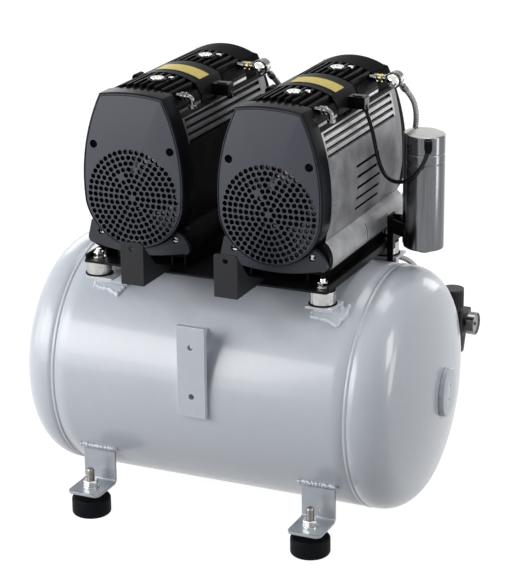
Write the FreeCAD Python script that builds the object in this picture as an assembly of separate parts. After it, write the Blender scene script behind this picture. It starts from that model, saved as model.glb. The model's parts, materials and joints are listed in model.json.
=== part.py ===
"""Two-pump oil-free air compressor on a horizontal air receiver.

X runs along the receiver, -Y is the front, +Z is up, and the feet stand on Z = 0.
Each pump is drawn about its own shaft and then set down on the base plate.
"""
import FreeCAD, Part
import math
import os

Vector = FreeCAD.Vector
X, Y, Z = Vector(1, 0, 0), Vector(0, 1, 0), Vector(0, 0, 1)

# ---------------------------------------------------------------- clearances
gap = 0.3                    # between curved faces of neighbouring pieces
running_fit = 0.05           # radial, a shaft in its bearing
bolt_fit = 0.3               # radial, a bolt in its hole

# ---------------------------------------------------------------- whole machine
front_shift = -7.0           # puts the middle of the machine's depth on Y = 0

# ---------------------------------------------------------------- air receiver
tank_radius = 154.0
tank_wall = 3.0
tank_straight = 418.0        # between the two tangent lines of the heads
seam_x = 199.0               # where each head's skirt meets the shell
tank_axis_z = 174.5
crown_radius = 399.0         # the large radius of a dished head
knuckle_radius = 42.0        # the small radius where a head meets the shell
joggle_length = 12.0         # the part of a head that slips inside the shell
boss_half_z = 31.0            # oval inspection boss on each head
boss_half_y = 22.0
boss_height = 7.0
boss_lean = 12.0              # how far its long axis leans backwards, in degrees
boss_y = 6.0
boss_pin = 1.4                # two small dimples in its face
boss_pin_pitch = 18.0

# ---------------------------------------------------------------- legs and feet
leg_span_x = 305.0           # between the left and right feet
leg_reach_y = 148.0          # from the receiver's axis to each foot
leg_width = 45.0
leg_sheet = 4.0
leg_plate_y = 123.0          # outer face of the upright part
leg_foot_z = 36.0            # top of the level part
leg_foot_front = 172.0
leg_corner = 12.0
foot_radius = 25.0
foot_height = 24.0
stud_radius = 5.0
stud_top_z = 61.0
nut_flats = 17.0
nut_height = 8.0
washer_radius = 10.5
washer_sheet = 1.6

# ---------------------------------------------------------------- front strap
strap_width = 38.0
strap_length = 118.0
strap_sheet = 7.0
strap_mid_z = 219.0
spacer_width = 16.0
spacer_height = 12.0
strap_hole = 3.5
strap_hole_pitch = 64.0

# ---------------------------------------------------------------- base plate
plate_length = 330.0
plate_front = 124.0          # front edge, from the receiver's axis
plate_rear = 132.0
plate_z = 329.5              # underside
plate_sheet = 3.0
plate_lip = 9.0
plate_corner = 5.0
isolator_x = 152.0
isolator_y = 106.0
isolator_radius = 16.0
isolator_height = 17.5
isolator_bolt = 3.0
isolator_nut_flats = 10.0
isolator_nut_height = 5.0
bracket_left_x = -143.5      # middles of the left and right brackets
bracket_right_x = 154.0
bracket_width = 36.0
bracket_depth = 36.0
bracket_sheet = 3.0
bracket_web_y = 98.0         # front face of the upright web, from the receiver's axis
bracket_flare = 6.0          # how far the welded foot spreads to the right
tab_x = 62.0
tab_width = 31.0
tab_front = 188.0
tab_height = 54.0
tab_sheet = 3.0
tab_hole = 3.2
tab_round = 4.0
tab_overlap = 12.0           # how far a lug's floor lies on the base plate

# ---------------------------------------------------------------- pumps
pump_pitch = 182.0
pump_y = 2.0
shaft_z = 420.0
housing_front = 99.0         # from the middle of the stator to each end of the casting
housing_rear = 142.0
flange_front = 117.0         # front face of the bolted end flange
housing_wall = 7.0
deck_z = 104.0               # flat that the valve plates sit on, above the shaft
housing_foot_z = -72.0       # underside of the casting, below the shaft
flange_half = 72.0
flange_top_z = -36.0
flange_mid_z = -74.0
fin_count = 5
fin_pitch = 8.6
fin_groove = 3.6
fin_depth = 5.0
fin_first_z = 64.0
fin_rear = 124.0
vent_count = 5
vent_pitch = 13.5
vent_slot = 3.0
vent_front = -13.0
vent_rear = 62.0
vent_first_z = -18.0

# front and rear covers
cover_bottom_radius = 66.0
cover_half_width = 68.0
cover_top_half = 43.0
cover_top_z = 129.0
cover_arch = 4.0
cover_wall = 3.0
cover_face_y = 130.0         # outer face of the front cap, from the middle of the pump
cover_lean = 0.0             # share of its height that the front face leans back
cover_edge_round = 2.5
rear_cover_face = 156.0
rear_cover_lean = 0.04
rear_cover_drop = 2.5        # how much lower the rear crest is
grille_rings = 8
grille_pitch = 7.35
grille_hole = 3.0
grille_first = 6             # holes in the first ring, and added in each next one
cover_screw_x = 52.0
cover_screw_z = 66.0
flange_screw_x = 51.0        # screws of the end flange, sideways and down from the shaft
flange_screw_z = 49.5
flange_well = 4.4
flange_well_depth = 4.0
flange_head = 3.4
rear_screw = 42.0
screw_sink = 5.0
screw_head = 4.2
screw_shank = 2.0

# motor
shaft_radius = 6.0
shaft_half = 125.0
rotor_radius = 27.0
air_gap = 0.5
stator_radius = 50.0
stator_half = 25.0
winding_outer = 46.0
winding_inner = 32.0
winding_length = 6.0
bearing_radius = 16.0
bearing_width = 9.0
bracket_inner = 33.0         # inner face of a bearing bracket
bracket_thick = 10.0
hub_radius = 21.0

# crank, rocking pistons and cylinders
crank_y = 68.0
crank_throw = 7.0
crank_radius = 16.0
crank_length = 14.0
rod_width = 12.0
rod_ring = 6.0
open_pivot = 0.6             # clearance of the opened big end over its whole sweep
weight_radius = 30.0
weight_thick = 5.0
bore_radius = 20.0
cylinder_wall = 2.5
cylinder_bottom = 58.0
piston_height = 9.0
piston_mid = 84.0            # underside of the piston head at mid stroke
fan_radius = 52.0
fan_hub = 13.0
fan_y = 110.0
fan_width = 14.0
fan_blades = 7
blade_sheet = 2.0

# cylinder heads and the saddle between them
valve_plate = 4.0
head_inner_y = 36.0
head_outer_y = 98.5
head_base_half = 50.0
head_shoulder_z = 113.0
head_top_half = 42.0
head_top_z = 127.5           # at the edges of the arched top
head_arch_z = 138.0          # at its middle
head_rib_count = 9
head_rib_pitch = 9.4
head_rib_sheet = 3.2
head_rib_height = 6.5
head_boss = 12.0
chamber_wall = 5.0
plug_x = 7.0
plug_cap = 8.5
plug_top_z = 140.5
side_screw_x = 20.0
side_screw_y = 12.0
side_screw = 2.6
saddle_half = 33.0
saddle_wall = 2.5
gland_x = -41.0
gland_radius = 5.5
label_x0 = -20.0
label_x1 = 40.0
label_y0 = -18.0
label_y1 = 9.0
label_sheet = 0.6
box_width = 22.0             # terminal box on the right shoulder of each saddle
box_depth = 16.0
box_height = 15.0
box_y = 5.0
box_z = 107.0
cable_exit_x = 69.5
elbow_y = 84.0
elbow_z = 124.0
elbow_tube = 3.2
elbow_reach = 62.0
elbow_drop = 14.0
outlet_y = 92.0
outlet_x = 74.0
outlet_radius = 9.5
port_x = 41.0                # where the bright tubes end inside the heads
pipe_end_x = 42.0
barb_offset = (7.4, 15.4, -17.2)     # from the outlet's middle to the end of its hose barb
pipe_radius = 4.0
pipe_x = 56.0
pipe_z = 113.0

# rails under the pumps
rail_offset = 46.0
rail_width = 20.0
rail_front = 97.0
rail_rear = 128.0
rail_sheet = 2.5

# ---------------------------------------------------------------- capacitors
can_radius = 24.0
can_height = 145.0
can_bottom_z = 350.0
can_x = 228.0
can_y = 38.0
can_step_x = -24.0           # from the front can to the rear one
can_step_y = 54.0
can_step_z = -14.0
can_groove = 0.8
can_stud = 8.0
can_stud_length = 6.0
boot_angle = -64.2           # where the lead enters a can, seen from above
boot_reach = 35.0
boot_width = 9.0
boot_z = 131.0               # above the bottom of a can
boot_height = 12.0
cradle_sheet = 2.0
cradle_z = 352.0
cradle_height = 18.0
post_y = 73.0
post_depth = 22.0
post_flange = 8.0
post_sheet = 3.0
post_low_z = 311.0
post_top_z = 372.0

# ---------------------------------------------------------------- rear air line
line_y = 182.0               # the line's middle, from the receiver's axis
line_z = 203.0
block_x0 = 60.0
block_x1 = 179.0
block_half = 14.0
socket_radius = 15.0
switch_x0 = 58.0
switch_x1 = 112.0
switch_depth = 40.0
switch_z0 = 236.0
switch_height = 76.0
knob_radius = 14.0
knob_height = 16.0
barb_x = (130.0, 171.0)
barb_radius = 4.5
barb_nut = 8.0
barb_top_z = 240.0
regulator_x = 216.0
regulator_half = 20.0
regulator_body = 30.0
regulator_knob_radius = 15.0
regulator_knob_height = 26.0
bowl_radius = 19.0
bowl_height = 26.0
drain_tip = 8.0
port_radius = 5.7            # tapped air outlet in the back of the regulator
port_depth = 12.0
gauge_radius = 15.0
gauge_depth = 10.0
gauge_end_x = 250.0
needle_length = 10.0
relief_radius = 8.0
relief_length = 24.0
drain_x = 60.0
drain_y = 20.0
drain_z = 12.0
drain_radius = 5.0
drain_length = 54.0
lever_y = 50.0
lever_length = 34.0
lever_width = 8.0
lever_sheet = 2.5

# ---------------------------------------------------------------- cords
cable_diameter = 5.0
cable_sleeve = 3.8
hose_diameter = 7.0
cable_points = [
    (160.7, 10.0, 523.5), (161.3, 19.5, 508.5), (162.0, 29.5, 491.0), (163.5, 35.0, 471.0),
    (167.5, 36.5, 452.0), (176.0, 32.5, 438.5), (188.5, 26.5, 433.0), (203.0, 19.5, 434.5),
    (218.5, 11.5, 442.5), (230.5, 7.5, 455.5), (237.8, 8.0, 467.5), (240.8, 10.1, 478.0)]
right_hose_points = [
    (182.0, 128.5, 495.5), (181.0, 129.0, 476.0), (177.0, 131.0, 457.5), (171.8, 137.5, 440.0),
    (168.0, 149.0, 422.0), (163.5, 161.5, 402.0), (155.0, 171.0, 381.0), (145.0, 176.5, 359.0),
    (137.0, 179.8, 335.0), (132.5, 181.2, 311.0), (130.5, 181.8, 287.0), (130.0, 182.0, 263.0),
    (130.0, 182.0, 240.0)]
left_hose_points = [
    (-0.5, 128.5, 495.5), (0.2, 129.0, 476.0), (0.0, 129.5, 457.0), (-0.3, 132.0, 433.0),
    (0.2, 135.0, 409.0), (1.0, 138.0, 385.0), (3.5, 141.0, 361.0), (11.0, 144.5, 338.0),
    (24.0, 147.5, 318.0), (42.0, 149.5, 303.0), (64.0, 150.5, 294.0), (88.0, 151.0, 290.0),
    (111.0, 154.5, 289.0), (131.0, 163.0, 288.0), (149.0, 172.0, 285.5), (162.5, 178.5, 276.0),
    (171.0, 182.0, 259.0), (171.0, 182.0, 240.0)]


# ================================================================ helpers
def box(x0, x1, y0, y1, z0, z1):
    return Part.makeBox(x1 - x0, y1 - y0, z1 - z0, Vector(x0, y0, z0))


def rod(radius, length, start, axis=Z):
    return Part.makeCylinder(radius, length, Vector(*start), axis)


def pipe(outer, inner, length, start, axis=Z):
    longer = Vector(*start) - axis
    return rod(outer, length, start, axis).cut(rod(inner, length + 2, tuple(longer), axis))


def hexagon(flats, height, start):
    radius = flats / math.sqrt(3)
    corners = [Vector(start[0] + radius * math.cos(math.radians(a)),
                      start[1] + radius * math.sin(math.radians(a)), start[2])
               for a in range(30, 391, 60)]
    return Part.Face(Part.makePolygon(corners)).extrude(Z * height)


def mirror_x(shape):
    return shape.mirror(Vector(0, 0, 0), X)


def mirror_y(shape):
    return shape.mirror(Vector(0, 0, 0), Y)


def moved(shape, x=0, y=0, z=0):
    copy = shape.copy()
    copy.translate(Vector(x, y, z))
    return copy


def fuse(shapes):
    whole = shapes[0].multiFuse(shapes[1:]) if len(shapes) > 1 else shapes[0]
    return whole.removeSplitter()


def cut(shape, tools):
    return shape.cut(Part.Compound(tools))


def group(shapes):
    solids = []
    for shape in shapes:
        solids.extend(shape.Solids)
    return Part.Compound(solids)


def four_ways(shape):
    """A shape drawn at the front right, and its three mirror images."""
    rear = mirror_y(shape)
    return [shape, mirror_x(shape), rear, mirror_x(rear)]


def arc(a, b, c):
    return Part.Arc(Vector(*a), Vector(*b), Vector(*c)).toShape()


def line(a, b):
    return Part.LineSegment(Vector(*a), Vector(*b)).toShape()


def revolve_profile(edges, axis=X):
    return Part.Face(Part.Wire(edges)).revolve(Vector(0, 0, 0), axis, 360)


def xz_face(points, y=0.0):
    corners = [Vector(x, y, z) for x, z in points]
    return Part.Face(Part.makePolygon(corners + corners[:1]))


def mirrored_points(half):
    """Right-hand outline points, bottom to top, and their images on the left."""
    return half + [(-x, z) for x, z in reversed(half)]


def sleeve(points, radius, length):
    """Short sleeve that ends where a cord starts and points along its first run."""
    start, after = Vector(*points[0]), Vector(*points[1])
    back = start - after
    back.normalize()
    return Part.makeCylinder(radius, length, start, back)


def cord_tube(points, diameter, name):
    """Straight runs joined by the largest arcs that the runs allow."""
    corners = [Vector(*p) for p in points]
    edges, radii, here = [], [], corners[0]
    for before, corner, after in zip(corners, corners[1:], corners[2:]):
        back, ahead = (before - corner), (after - corner)
        shorter = min(back.Length, ahead.Length)
        turn = math.pi - back.getAngle(ahead)
        reach = 0.45 * shorter
        back.normalize()
        ahead.normalize()
        start, end = corner + back * reach, corner + ahead * reach
        middle = back + ahead
        middle.normalize()
        radius = reach / math.tan(turn / 2)
        sag = radius / math.cos(turn / 2) - radius
        edges.append(Part.LineSegment(here, start).toShape())
        edges.append(Part.Arc(start, corner + middle * sag, end).toShape())
        radii.append(radius)
        here = end
    edges.append(Part.LineSegment(here, corners[-1]).toShape())
    path = Part.Wire(edges)
    direction = corners[1] - corners[0]
    ring = Part.Wire(Part.makeCircle(diameter / 2, corners[0], direction))
    tube = path.makePipeShell([ring], True, False)
    expected = math.pi * diameter ** 2 / 4 * path.Length
    print(name, "length %.0f" % path.Length, "volume ratio %.4f" % (tube.Volume / expected),
          "radii", " ".join("%.0f" % r for r in radii))
    return tube


# ================================================================ receiver
def head_depth(crown, knuckle, radius):
    return crown - math.sqrt((crown - knuckle) ** 2 - (radius - knuckle) ** 2)


def dished_profile(radius, crown, knuckle):
    """Half outline of a dished head on the +X side: crown arc, then knuckle arc."""
    tangent = tank_straight / 2
    depth = head_depth(crown, knuckle, radius)
    centre = tangent + depth - crown
    phi = math.atan2(radius - knuckle, tangent - centre)
    half, mid = phi / 2, (phi + math.pi / 2) / 2
    apex = (tangent + depth, 0, 0)
    crown_mid = (centre + crown * math.cos(half), 0, crown * math.sin(half))
    meet = (centre + crown * math.cos(phi), 0, crown * math.sin(phi))
    knuckle_mid = (tangent + knuckle * math.cos(mid), 0,
                   radius - knuckle + knuckle * math.sin(mid))
    end = (tangent, 0, radius)
    return arc(apex, crown_mid, meet), arc(meet, knuckle_mid, end), apex, end


def tank_head():
    """Right-hand head: a dished wall and a joggled rim that slips into the shell."""
    inner = tank_radius - tank_wall
    out_crown, out_knuckle, out_apex, out_end = dished_profile(
        tank_radius, crown_radius, knuckle_radius)
    in_crown, in_knuckle, in_apex, in_end = dished_profile(
        inner, crown_radius - tank_wall, knuckle_radius - tank_wall)
    slip = inner - gap
    corners = [out_end, (seam_x, 0, tank_radius), (seam_x, 0, slip),
               (seam_x - joggle_length, 0, slip),
               (seam_x - joggle_length, 0, slip - tank_wall),
               (seam_x + joggle_length / 3, 0, slip - tank_wall), in_end]
    edges = [line(a, b) for a, b in zip(corners, corners[1:])]
    edges += [out_crown, out_knuckle, in_knuckle, in_crown, line(in_apex, out_apex)]
    return moved(revolve_profile(Part.__sortEdges__(edges)), z=tank_axis_z)


def tank_shell():
    length = 2 * seam_x
    shell = pipe(tank_radius, tank_radius - tank_wall, length, (-length / 2, 0, tank_axis_z), X)
    return cut(shell, [rod(socket_radius - 4, 60, (socket_x(), tank_radius - 60, line_z), Y)])


def socket_x():
    return (block_x0 + switch_x1) / 2


def tank_back(z):
    """How far back the receiver's surface is at a height."""
    return math.sqrt(tank_radius ** 2 - (z - tank_axis_z) ** 2)


def inspection_plug():
    """Oval boss that closes the inspection hole in each head, with two dimples in its face."""
    apex = tank_straight / 2 + head_depth(crown_radius, knuckle_radius, tank_radius)
    rim = Part.Ellipse(Vector(0, 0, 0), boss_half_z, boss_half_y).toShape()
    boss = Part.Face(Part.Wire([rim])).extrude(Z * (boss_height + 8))
    boss = boss.makeFillet(1.5, [e for e in boss.Edges if e.BoundBox.ZMin > boss_height + 7.9])
    pins = [rod(boss_pin, 4, (side * boss_pin_pitch / 2, 0, boss_height + 6)) for side in (-1, 1)]
    boss = cut(boss, pins)
    boss.rotate(Vector(0, 0, 0), Y, 90)
    boss.rotate(Vector(0, 0, 0), X, -boss_lean)
    boss = moved(boss, apex - 8, boss_y, tank_axis_z)
    boss = boss.cut(moved(head_solid_limit(), x=gap))
    return group([boss, mirror_x(boss)])


def head_solid_limit():
    """The space that the dished head and the air inside it take up."""
    crown, knuckle, apex, end = dished_profile(tank_radius, crown_radius, knuckle_radius)
    edges = [crown, knuckle, line(end, (end[0], 0, 0)), line((end[0], 0, 0), apex)]
    return moved(revolve_profile(Part.__sortEdges__(edges)), z=tank_axis_z)


# ================================================================ legs and feet
def leg():
    """Front right leg: an upright on the receiver and a level foot with clipped corners."""
    x0, x1 = leg_span_x / 2 - leg_width / 2, leg_span_x / 2 + leg_width / 2
    y_out, y_in = -leg_plate_y, -leg_plate_y + leg_sheet
    top = tank_axis_z - math.sqrt(tank_radius ** 2 - (leg_plate_y - leg_sheet) ** 2) + 2
    upright = box(x0, x1, y_out, y_in, leg_foot_z - leg_sheet, top)
    corners = [(x0, y_in), (x1, y_in), (x1, -leg_foot_front + leg_corner),
               (x1 - leg_corner, -leg_foot_front), (x0 + leg_corner, -leg_foot_front),
               (x0, -leg_foot_front + leg_corner)]
    corners = [Vector(x, y, leg_foot_z - leg_sheet) for x, y in corners]
    level = Part.Face(Part.makePolygon(corners + corners[:1])).extrude(Z * leg_sheet)
    whole = fuse([upright, level])
    hole = rod(stud_radius + bolt_fit, 20, (leg_span_x / 2, -leg_reach_y, leg_foot_z - 15))
    return cut(whole, [drum(), hole])


def rubber_foot():
    foot = rod(foot_radius, foot_height, (leg_span_x / 2, -leg_reach_y, 0))
    foot = foot.makeFillet(4.0, [e for e in foot.Edges if e.Length > foot_radius * 6])
    return foot.cut(rod(stud_radius + gap, foot_height, (leg_span_x / 2, -leg_reach_y, 8)))


def foot_stud():
    x, y = leg_span_x / 2, -leg_reach_y
    low = foot_height
    stud = rod(stud_radius, stud_top_z - 9, (x, y, 9))
    pieces = [stud.makeChamfer(1.0, [stud.Edges[0]])]
    pieces.append(rod(washer_radius, washer_sheet, (x, y, leg_foot_z)))
    pieces.append(hexagon(nut_flats, nut_height, (x, y, leg_foot_z + washer_sheet)))
    pieces.append(hexagon(nut_flats, leg_foot_z - leg_sheet - low, (x, y, low)))
    return fuse(pieces)


# ================================================================ front strap
def wall_strap():
    """Flat bar that lies against the receiver, with a spacer behind its free end."""
    half_w, half_l = strap_width / 2, strap_length / 2
    front = -tank_radius - strap_sheet
    top = strap_mid_z + half_l
    plate = box(-half_w, half_w, front, -tank_radius, strap_mid_z - half_l, top)
    holes = [rod(strap_hole, 10, (0, front - 1, strap_mid_z + side * strap_hole_pitch / 2), Y)
             for side in (-1, 1)]
    spacer = box(-spacer_width / 2, spacer_width / 2, -tank_radius, -tank_radius * 0.6,
                 top - 2 * spacer_height, top - spacer_height)
    return fuse([cut(plate, holes), spacer]).cut(drum())


def drum():
    """The receiver's outer face with its clearance, to cut pieces that sit on it."""
    return rod(tank_radius + gap, tank_straight, (-tank_straight / 2, 0, tank_axis_z), X)


# ================================================================ base plate and its mounts
def isolator_bracket(middle):
    """Shelf, upright web, two side plates and a curved foot, at the front of the receiver."""
    x0, x1 = middle - bracket_width / 2, middle + bracket_width / 2
    shelf_z = plate_z - isolator_height
    y0, y1 = -isolator_y - bracket_depth / 2, -isolator_y + bracket_depth / 2
    low = tank_axis_z + tank_radius / 2
    web, inner = -bracket_web_y, -bracket_web_y + bracket_sheet
    pieces = [box(x0, x1, y0, y1, shelf_z - bracket_sheet, shelf_z),
              box(x0, x1, web, inner, low, shelf_z),
              box(x1 - bracket_sheet, x1, web, y1, low, shelf_z),
              box(x0, x0 + bracket_sheet, web, y1, low, shelf_z)]
    plan = [(x0, inner), (x0, web - 5.5), (x0 + 22, web - 7), (x1 - 1, web - 11),
            (x1 + bracket_flare, web), (x1 + bracket_flare - 1, y1),
            (x1 - bracket_sheet, y1), (x1 - bracket_sheet, inner)]
    plan = [Vector(x, y, low) for x, y in plan]
    foot = Part.Face(Part.makePolygon(plan + plan[:1])).extrude(Z * (shelf_z - low))
    foot = foot.common(rod(tank_radius + gap + bracket_sheet, 2 * bracket_width,
                           (middle - bracket_width, 0, tank_axis_z), X))
    side = isolator_x if middle > 0 else -isolator_x
    hole = rod(isolator_bolt + bolt_fit, 12, (side, -isolator_y, shelf_z - 8))
    return fuse(pieces + [foot]).cut(drum()).cut(hole)


def isolator_brackets():
    front = [isolator_bracket(x) for x in (bracket_left_x, bracket_right_x)]
    return front + [mirror_y(shape) for shape in front]


def isolator():
    """Metal ring over a rubber core."""
    z = plate_z - isolator_height
    ring = pipe(isolator_radius, isolator_radius - 1.5, isolator_height - 1.5 - gap,
                (isolator_x, -isolator_y, z + 1.5))
    core = rod(isolator_radius - 1.5 - gap, isolator_height, (isolator_x, -isolator_y, z))
    core = core.cut(rod(isolator_bolt + gap, isolator_height + 2,
                        (isolator_x, -isolator_y, z - 1)))
    lip = rod(isolator_radius + 1.5, 1.5, (isolator_x, -isolator_y, z))
    lip = lip.cut(rod(isolator_radius - 3, 4, (isolator_x, -isolator_y, z - 1)))
    return fuse([core, lip]), ring


def isolator_bolt_set():
    z = plate_z - isolator_height - bracket_sheet
    low = z - 6
    high = plate_z + plate_sheet
    bolt = rod(isolator_bolt, high + isolator_nut_height + 3 - low, (isolator_x, -isolator_y, low))
    top = hexagon(isolator_nut_flats, isolator_nut_height, (isolator_x, -isolator_y, high))
    bottom = hexagon(isolator_nut_flats, 4, (isolator_x, -isolator_y, z - 4))
    return fuse([bolt, top, bottom])


def base_plate():
    half = plate_length / 2
    sheet = box(-half, half, -plate_front, plate_rear, plate_z, plate_z + plate_sheet)
    sheet = sheet.makeFillet(plate_corner, [e for e in sheet.Edges if e.BoundBox.ZLength > 1
                                            and e.BoundBox.YMax < 0])
    lip = box(half - plate_sheet, half, -plate_front + plate_corner + 1, plate_rear,
              plate_z, plate_z + plate_lip)
    rear = box(-half, half, plate_rear - plate_sheet, plate_rear, plate_z, plate_z + plate_lip)
    whole = fuse([sheet, rear, lip, mirror_x(lip)])
    holes = [moved(rod(isolator_bolt + bolt_fit, 12, (0, 0, plate_z - 4)), x, y)
             for x in (-isolator_x, isolator_x) for y in (-isolator_y, isolator_y)]
    return cut(whole, holes)


def front_tab(x):
    """A folded lug that reaches forward from under the base plate and turns up."""
    x0, x1 = x - tab_width / 2, x + tab_width / 2
    foot_z = plate_z + plate_sheet
    back = -plate_front + tab_overlap
    face = box(x0, x1, -tab_front, -tab_front + tab_sheet, foot_z, foot_z + tab_height)
    tops = [e for e in face.Edges
            if abs(e.BoundBox.ZMin - foot_z - tab_height) < 0.01 and e.BoundBox.YLength > 1]
    face = face.makeFillet(tab_round, tops)
    floor = box(x0, x1, -tab_front, back, foot_z, foot_z + tab_sheet)
    rise = [Vector(x1 - tab_sheet, -tab_front, foot_z),
            Vector(x1 - tab_sheet, back, foot_z),
            Vector(x1 - tab_sheet, back, foot_z + tab_sheet),
            Vector(x1 - tab_sheet, -tab_front + 32, foot_z + tab_height * 0.36),
            Vector(x1 - tab_sheet, -tab_front + tab_sheet, foot_z + tab_height - tab_round),
            Vector(x1 - tab_sheet, -tab_front, foot_z + tab_height - tab_round)]
    side = Part.Face(Part.makePolygon(rise + rise[:1])).extrude(X * tab_sheet)
    hole = rod(tab_hole, 12, (x, -tab_front - 4, foot_z + tab_height - 8), Y)
    return fuse([face, floor, side]).cut(hole)


def mount_rail(x):
    """Channel that carries one side of a pump."""
    x0, x1 = x - rail_width / 2, x + rail_width / 2
    z0, z1 = plate_z + plate_sheet, shaft_z + housing_foot_z
    outer = box(x0, x1, -rail_front, rail_rear, z0, z1)
    inner = box(x0 + rail_sheet, x1 - rail_sheet, -rail_front - 1, rail_rear + 1,
                z0 - 1, z1 - rail_sheet)
    return outer.cut(inner)


# ================================================================ pump castings
def housing_outline():
    """Right-hand half of the housing's section, from the bottom up."""
    return [(48, housing_foot_z), (62, -66), (68, -54), (66, -36), (60, -24), (66, -14),
            (68, 8), (66, 40), (64, 60), (56, deck_z - 4), (52, deck_z)]


def cavity_face():
    half = [(44, housing_foot_z + housing_wall), (56, -58), (60, -50), (58, -36), (53, -24),
            (58, -12), (60, 8), (58, 38), (56, 56), (49, deck_z - housing_wall)]
    return xz_face(mirrored_points(half))


def end_flange():
    """Bolted corners of the front end, outside the round part of the cover."""
    top, mid, half = flange_top_z, flange_mid_z, flange_half
    y = -flange_front
    low = mid + 12
    edges = [line((-half + 5, y, top), (-half, y, low + 4)),
             arc((-half, y, low + 4), (-half + 2, y, low - 1), (-half + 9, y, low - 4)),
             arc((-half + 9, y, low - 4), (0, y, mid), (half - 9, y, low - 4)),
             arc((half - 9, y, low - 4), (half - 2, y, low - 1), (half, y, low + 4)),
             line((half, y, low + 4), (half - 5, y, top)),
             line((half - 5, y, top), (-half + 5, y, top))]
    plate = Part.Face(Part.Wire(edges)).extrude(Y * 8)
    bulge = [p for p in mirrored_points(housing_outline()) if p[1] < flange_top_z + 1]
    block = xz_face(bulge, -flange_front + 4).extrude(Y * (flange_front - housing_front))
    base = box(-80, 80, -200, 0, housing_foot_z - 20, housing_foot_z)
    round_part = rod(cover_bottom_radius + 2 * gap, 60, (0, -housing_front - 60, 0), Y)
    return fuse([plate, block]).cut(Part.Compound([round_part, base]))


def upper_screws():
    return [(side * cover_screw_x, cover_screw_z) for side in (-1, 1)]


def flange_screws():
    return [(side * flange_screw_x, -flange_screw_z) for side in (-1, 1)]


def rear_screws():
    return upper_screws() + [(side * rear_screw, -rear_screw) for side in (-1, 1)]


def screw_boss(x, z, y0, y1):
    """Block between a cover screw and the side wall of the housing."""
    side = 1 if x > 0 else -1
    wall = 60 if z < 0 else 57
    return box(min(x - side * 4, side * wall), max(x - side * 4, side * wall),
               y0, y1, z - 4.5, z + 4.5)


def stator_ribs():
    """Pads inside the housing that hold the stator."""
    inner = stator_radius + gap
    pads = [box(inner - 6, 62, -stator_half, stator_half, -10, 10),
            box(-62, -inner + 6, -stator_half, stator_half, -10, 10),
            box(-10, 10, -stator_half, stator_half, housing_foot_z + 4, -inner + 6)]
    bore = rod(inner, 4 * stator_half, (0, -2 * stator_half, 0), Y)
    return [pad.cut(bore) for pad in pads]


def housing():
    """Cast housing: outer section, cavity, fins, vents, bores and stator ribs."""
    y0, y1 = -housing_front, housing_rear
    body = xz_face(mirrored_points(housing_outline()), y0).extrude(Y * (y1 - y0))
    body = fuse([body, end_flange()])
    cavity = moved(cavity_face(), y=y0 - 0.01).extrude(Y * (y1 - y0 + 20))
    bosses = [screw_boss(x, z, y0, y0 + 12) for x, z in upper_screws()]
    bosses += [screw_boss(x, z, y1 - 12, y1) for x, z in rear_screws()]
    body = fuse([body.cut(cavity)] + stator_ribs() + bosses)
    tools = []
    for side in (-1, 1):
        for i in range(fin_count - 1):
            z = fin_first_z + fin_groove + i * fin_pitch
            start = 66 - (z - 60) * 10 / 44 - fin_depth
            groove = box(start, 90, y0 + 5, fin_rear, z, z + fin_groove)
            tools.append(groove if side > 0 else mirror_x(groove))
        for i in range(vent_count):
            z = vent_first_z + i * vent_pitch
            slot = box(50, 90, vent_front, vent_rear, z, z + vent_slot)
            tools.append(slot if side > 0 else mirror_x(slot))
        seam = box(58, 80, 12, 13.2, -66, -22)
        tools.append(seam if side > 0 else mirror_x(seam))
        tools.append(rod(bore_radius + cylinder_wall + gap, 60, (0, side * crank_y, deck_z - 40)))
    shank = screw_shank + bolt_fit
    tools += [rod(shank, 13, (x, y0 - 1, z), Y) for x, z in upper_screws()]
    tools += [rod(shank, 17, (x, -flange_front - 1, z), Y) for x, z in flange_screws()]
    tools += [rod(flange_well, flange_well_depth + 1, (x, -flange_front - 1, z), Y)
              for x, z in flange_screws()]
    tools += [rod(shank, 13, (x, y1 - 12, z), Y) for x, z in rear_screws()]
    return cut(body, tools)


def cover_outline(y, drop=0.0):
    """Closed outline of a cover in a plane across the shaft."""
    r, w, t, top = cover_bottom_radius, cover_half_width, cover_top_half, cover_top_z - drop
    low = -10.0
    low_x = math.sqrt(r * r - low * low) + 1.0
    edges = [arc((-low_x, y, low), (0, y, -r), (low_x, y, low)),
             arc((low_x, y, low), (w - 1.5, y, 42), (t, y, top)),
             arc((t, y, top), (0, y, top + cover_arch), (-t, y, top)),
             arc((-t, y, top), (-w + 1.5, y, 42), (-low_x, y, low))]
    return Part.Face(Part.Wire(edges))


def lean_block(face_y, lean):
    """Everything in front of a cover's leaning face."""
    block = box(-200, 200, -400, 0, -300, 300)
    block.rotate(Vector(0, 0, 0), X, -math.degrees(math.atan(lean)))
    return moved(block, y=-face_y)


def grille_tools(face_y):
    """Rings of round holes, each ring with six more holes than the one inside it."""
    tools = []
    for k in range(1, grille_rings + 1):
        for i in range(grille_first * k):
            a = 2 * math.pi * i / (grille_first * k)
            x, z = k * grille_pitch * math.cos(a), k * grille_pitch * math.sin(a)
            tools.append(rod(grille_hole, 40, (x, -face_y - 20, z), Y))
    return tools


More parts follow.
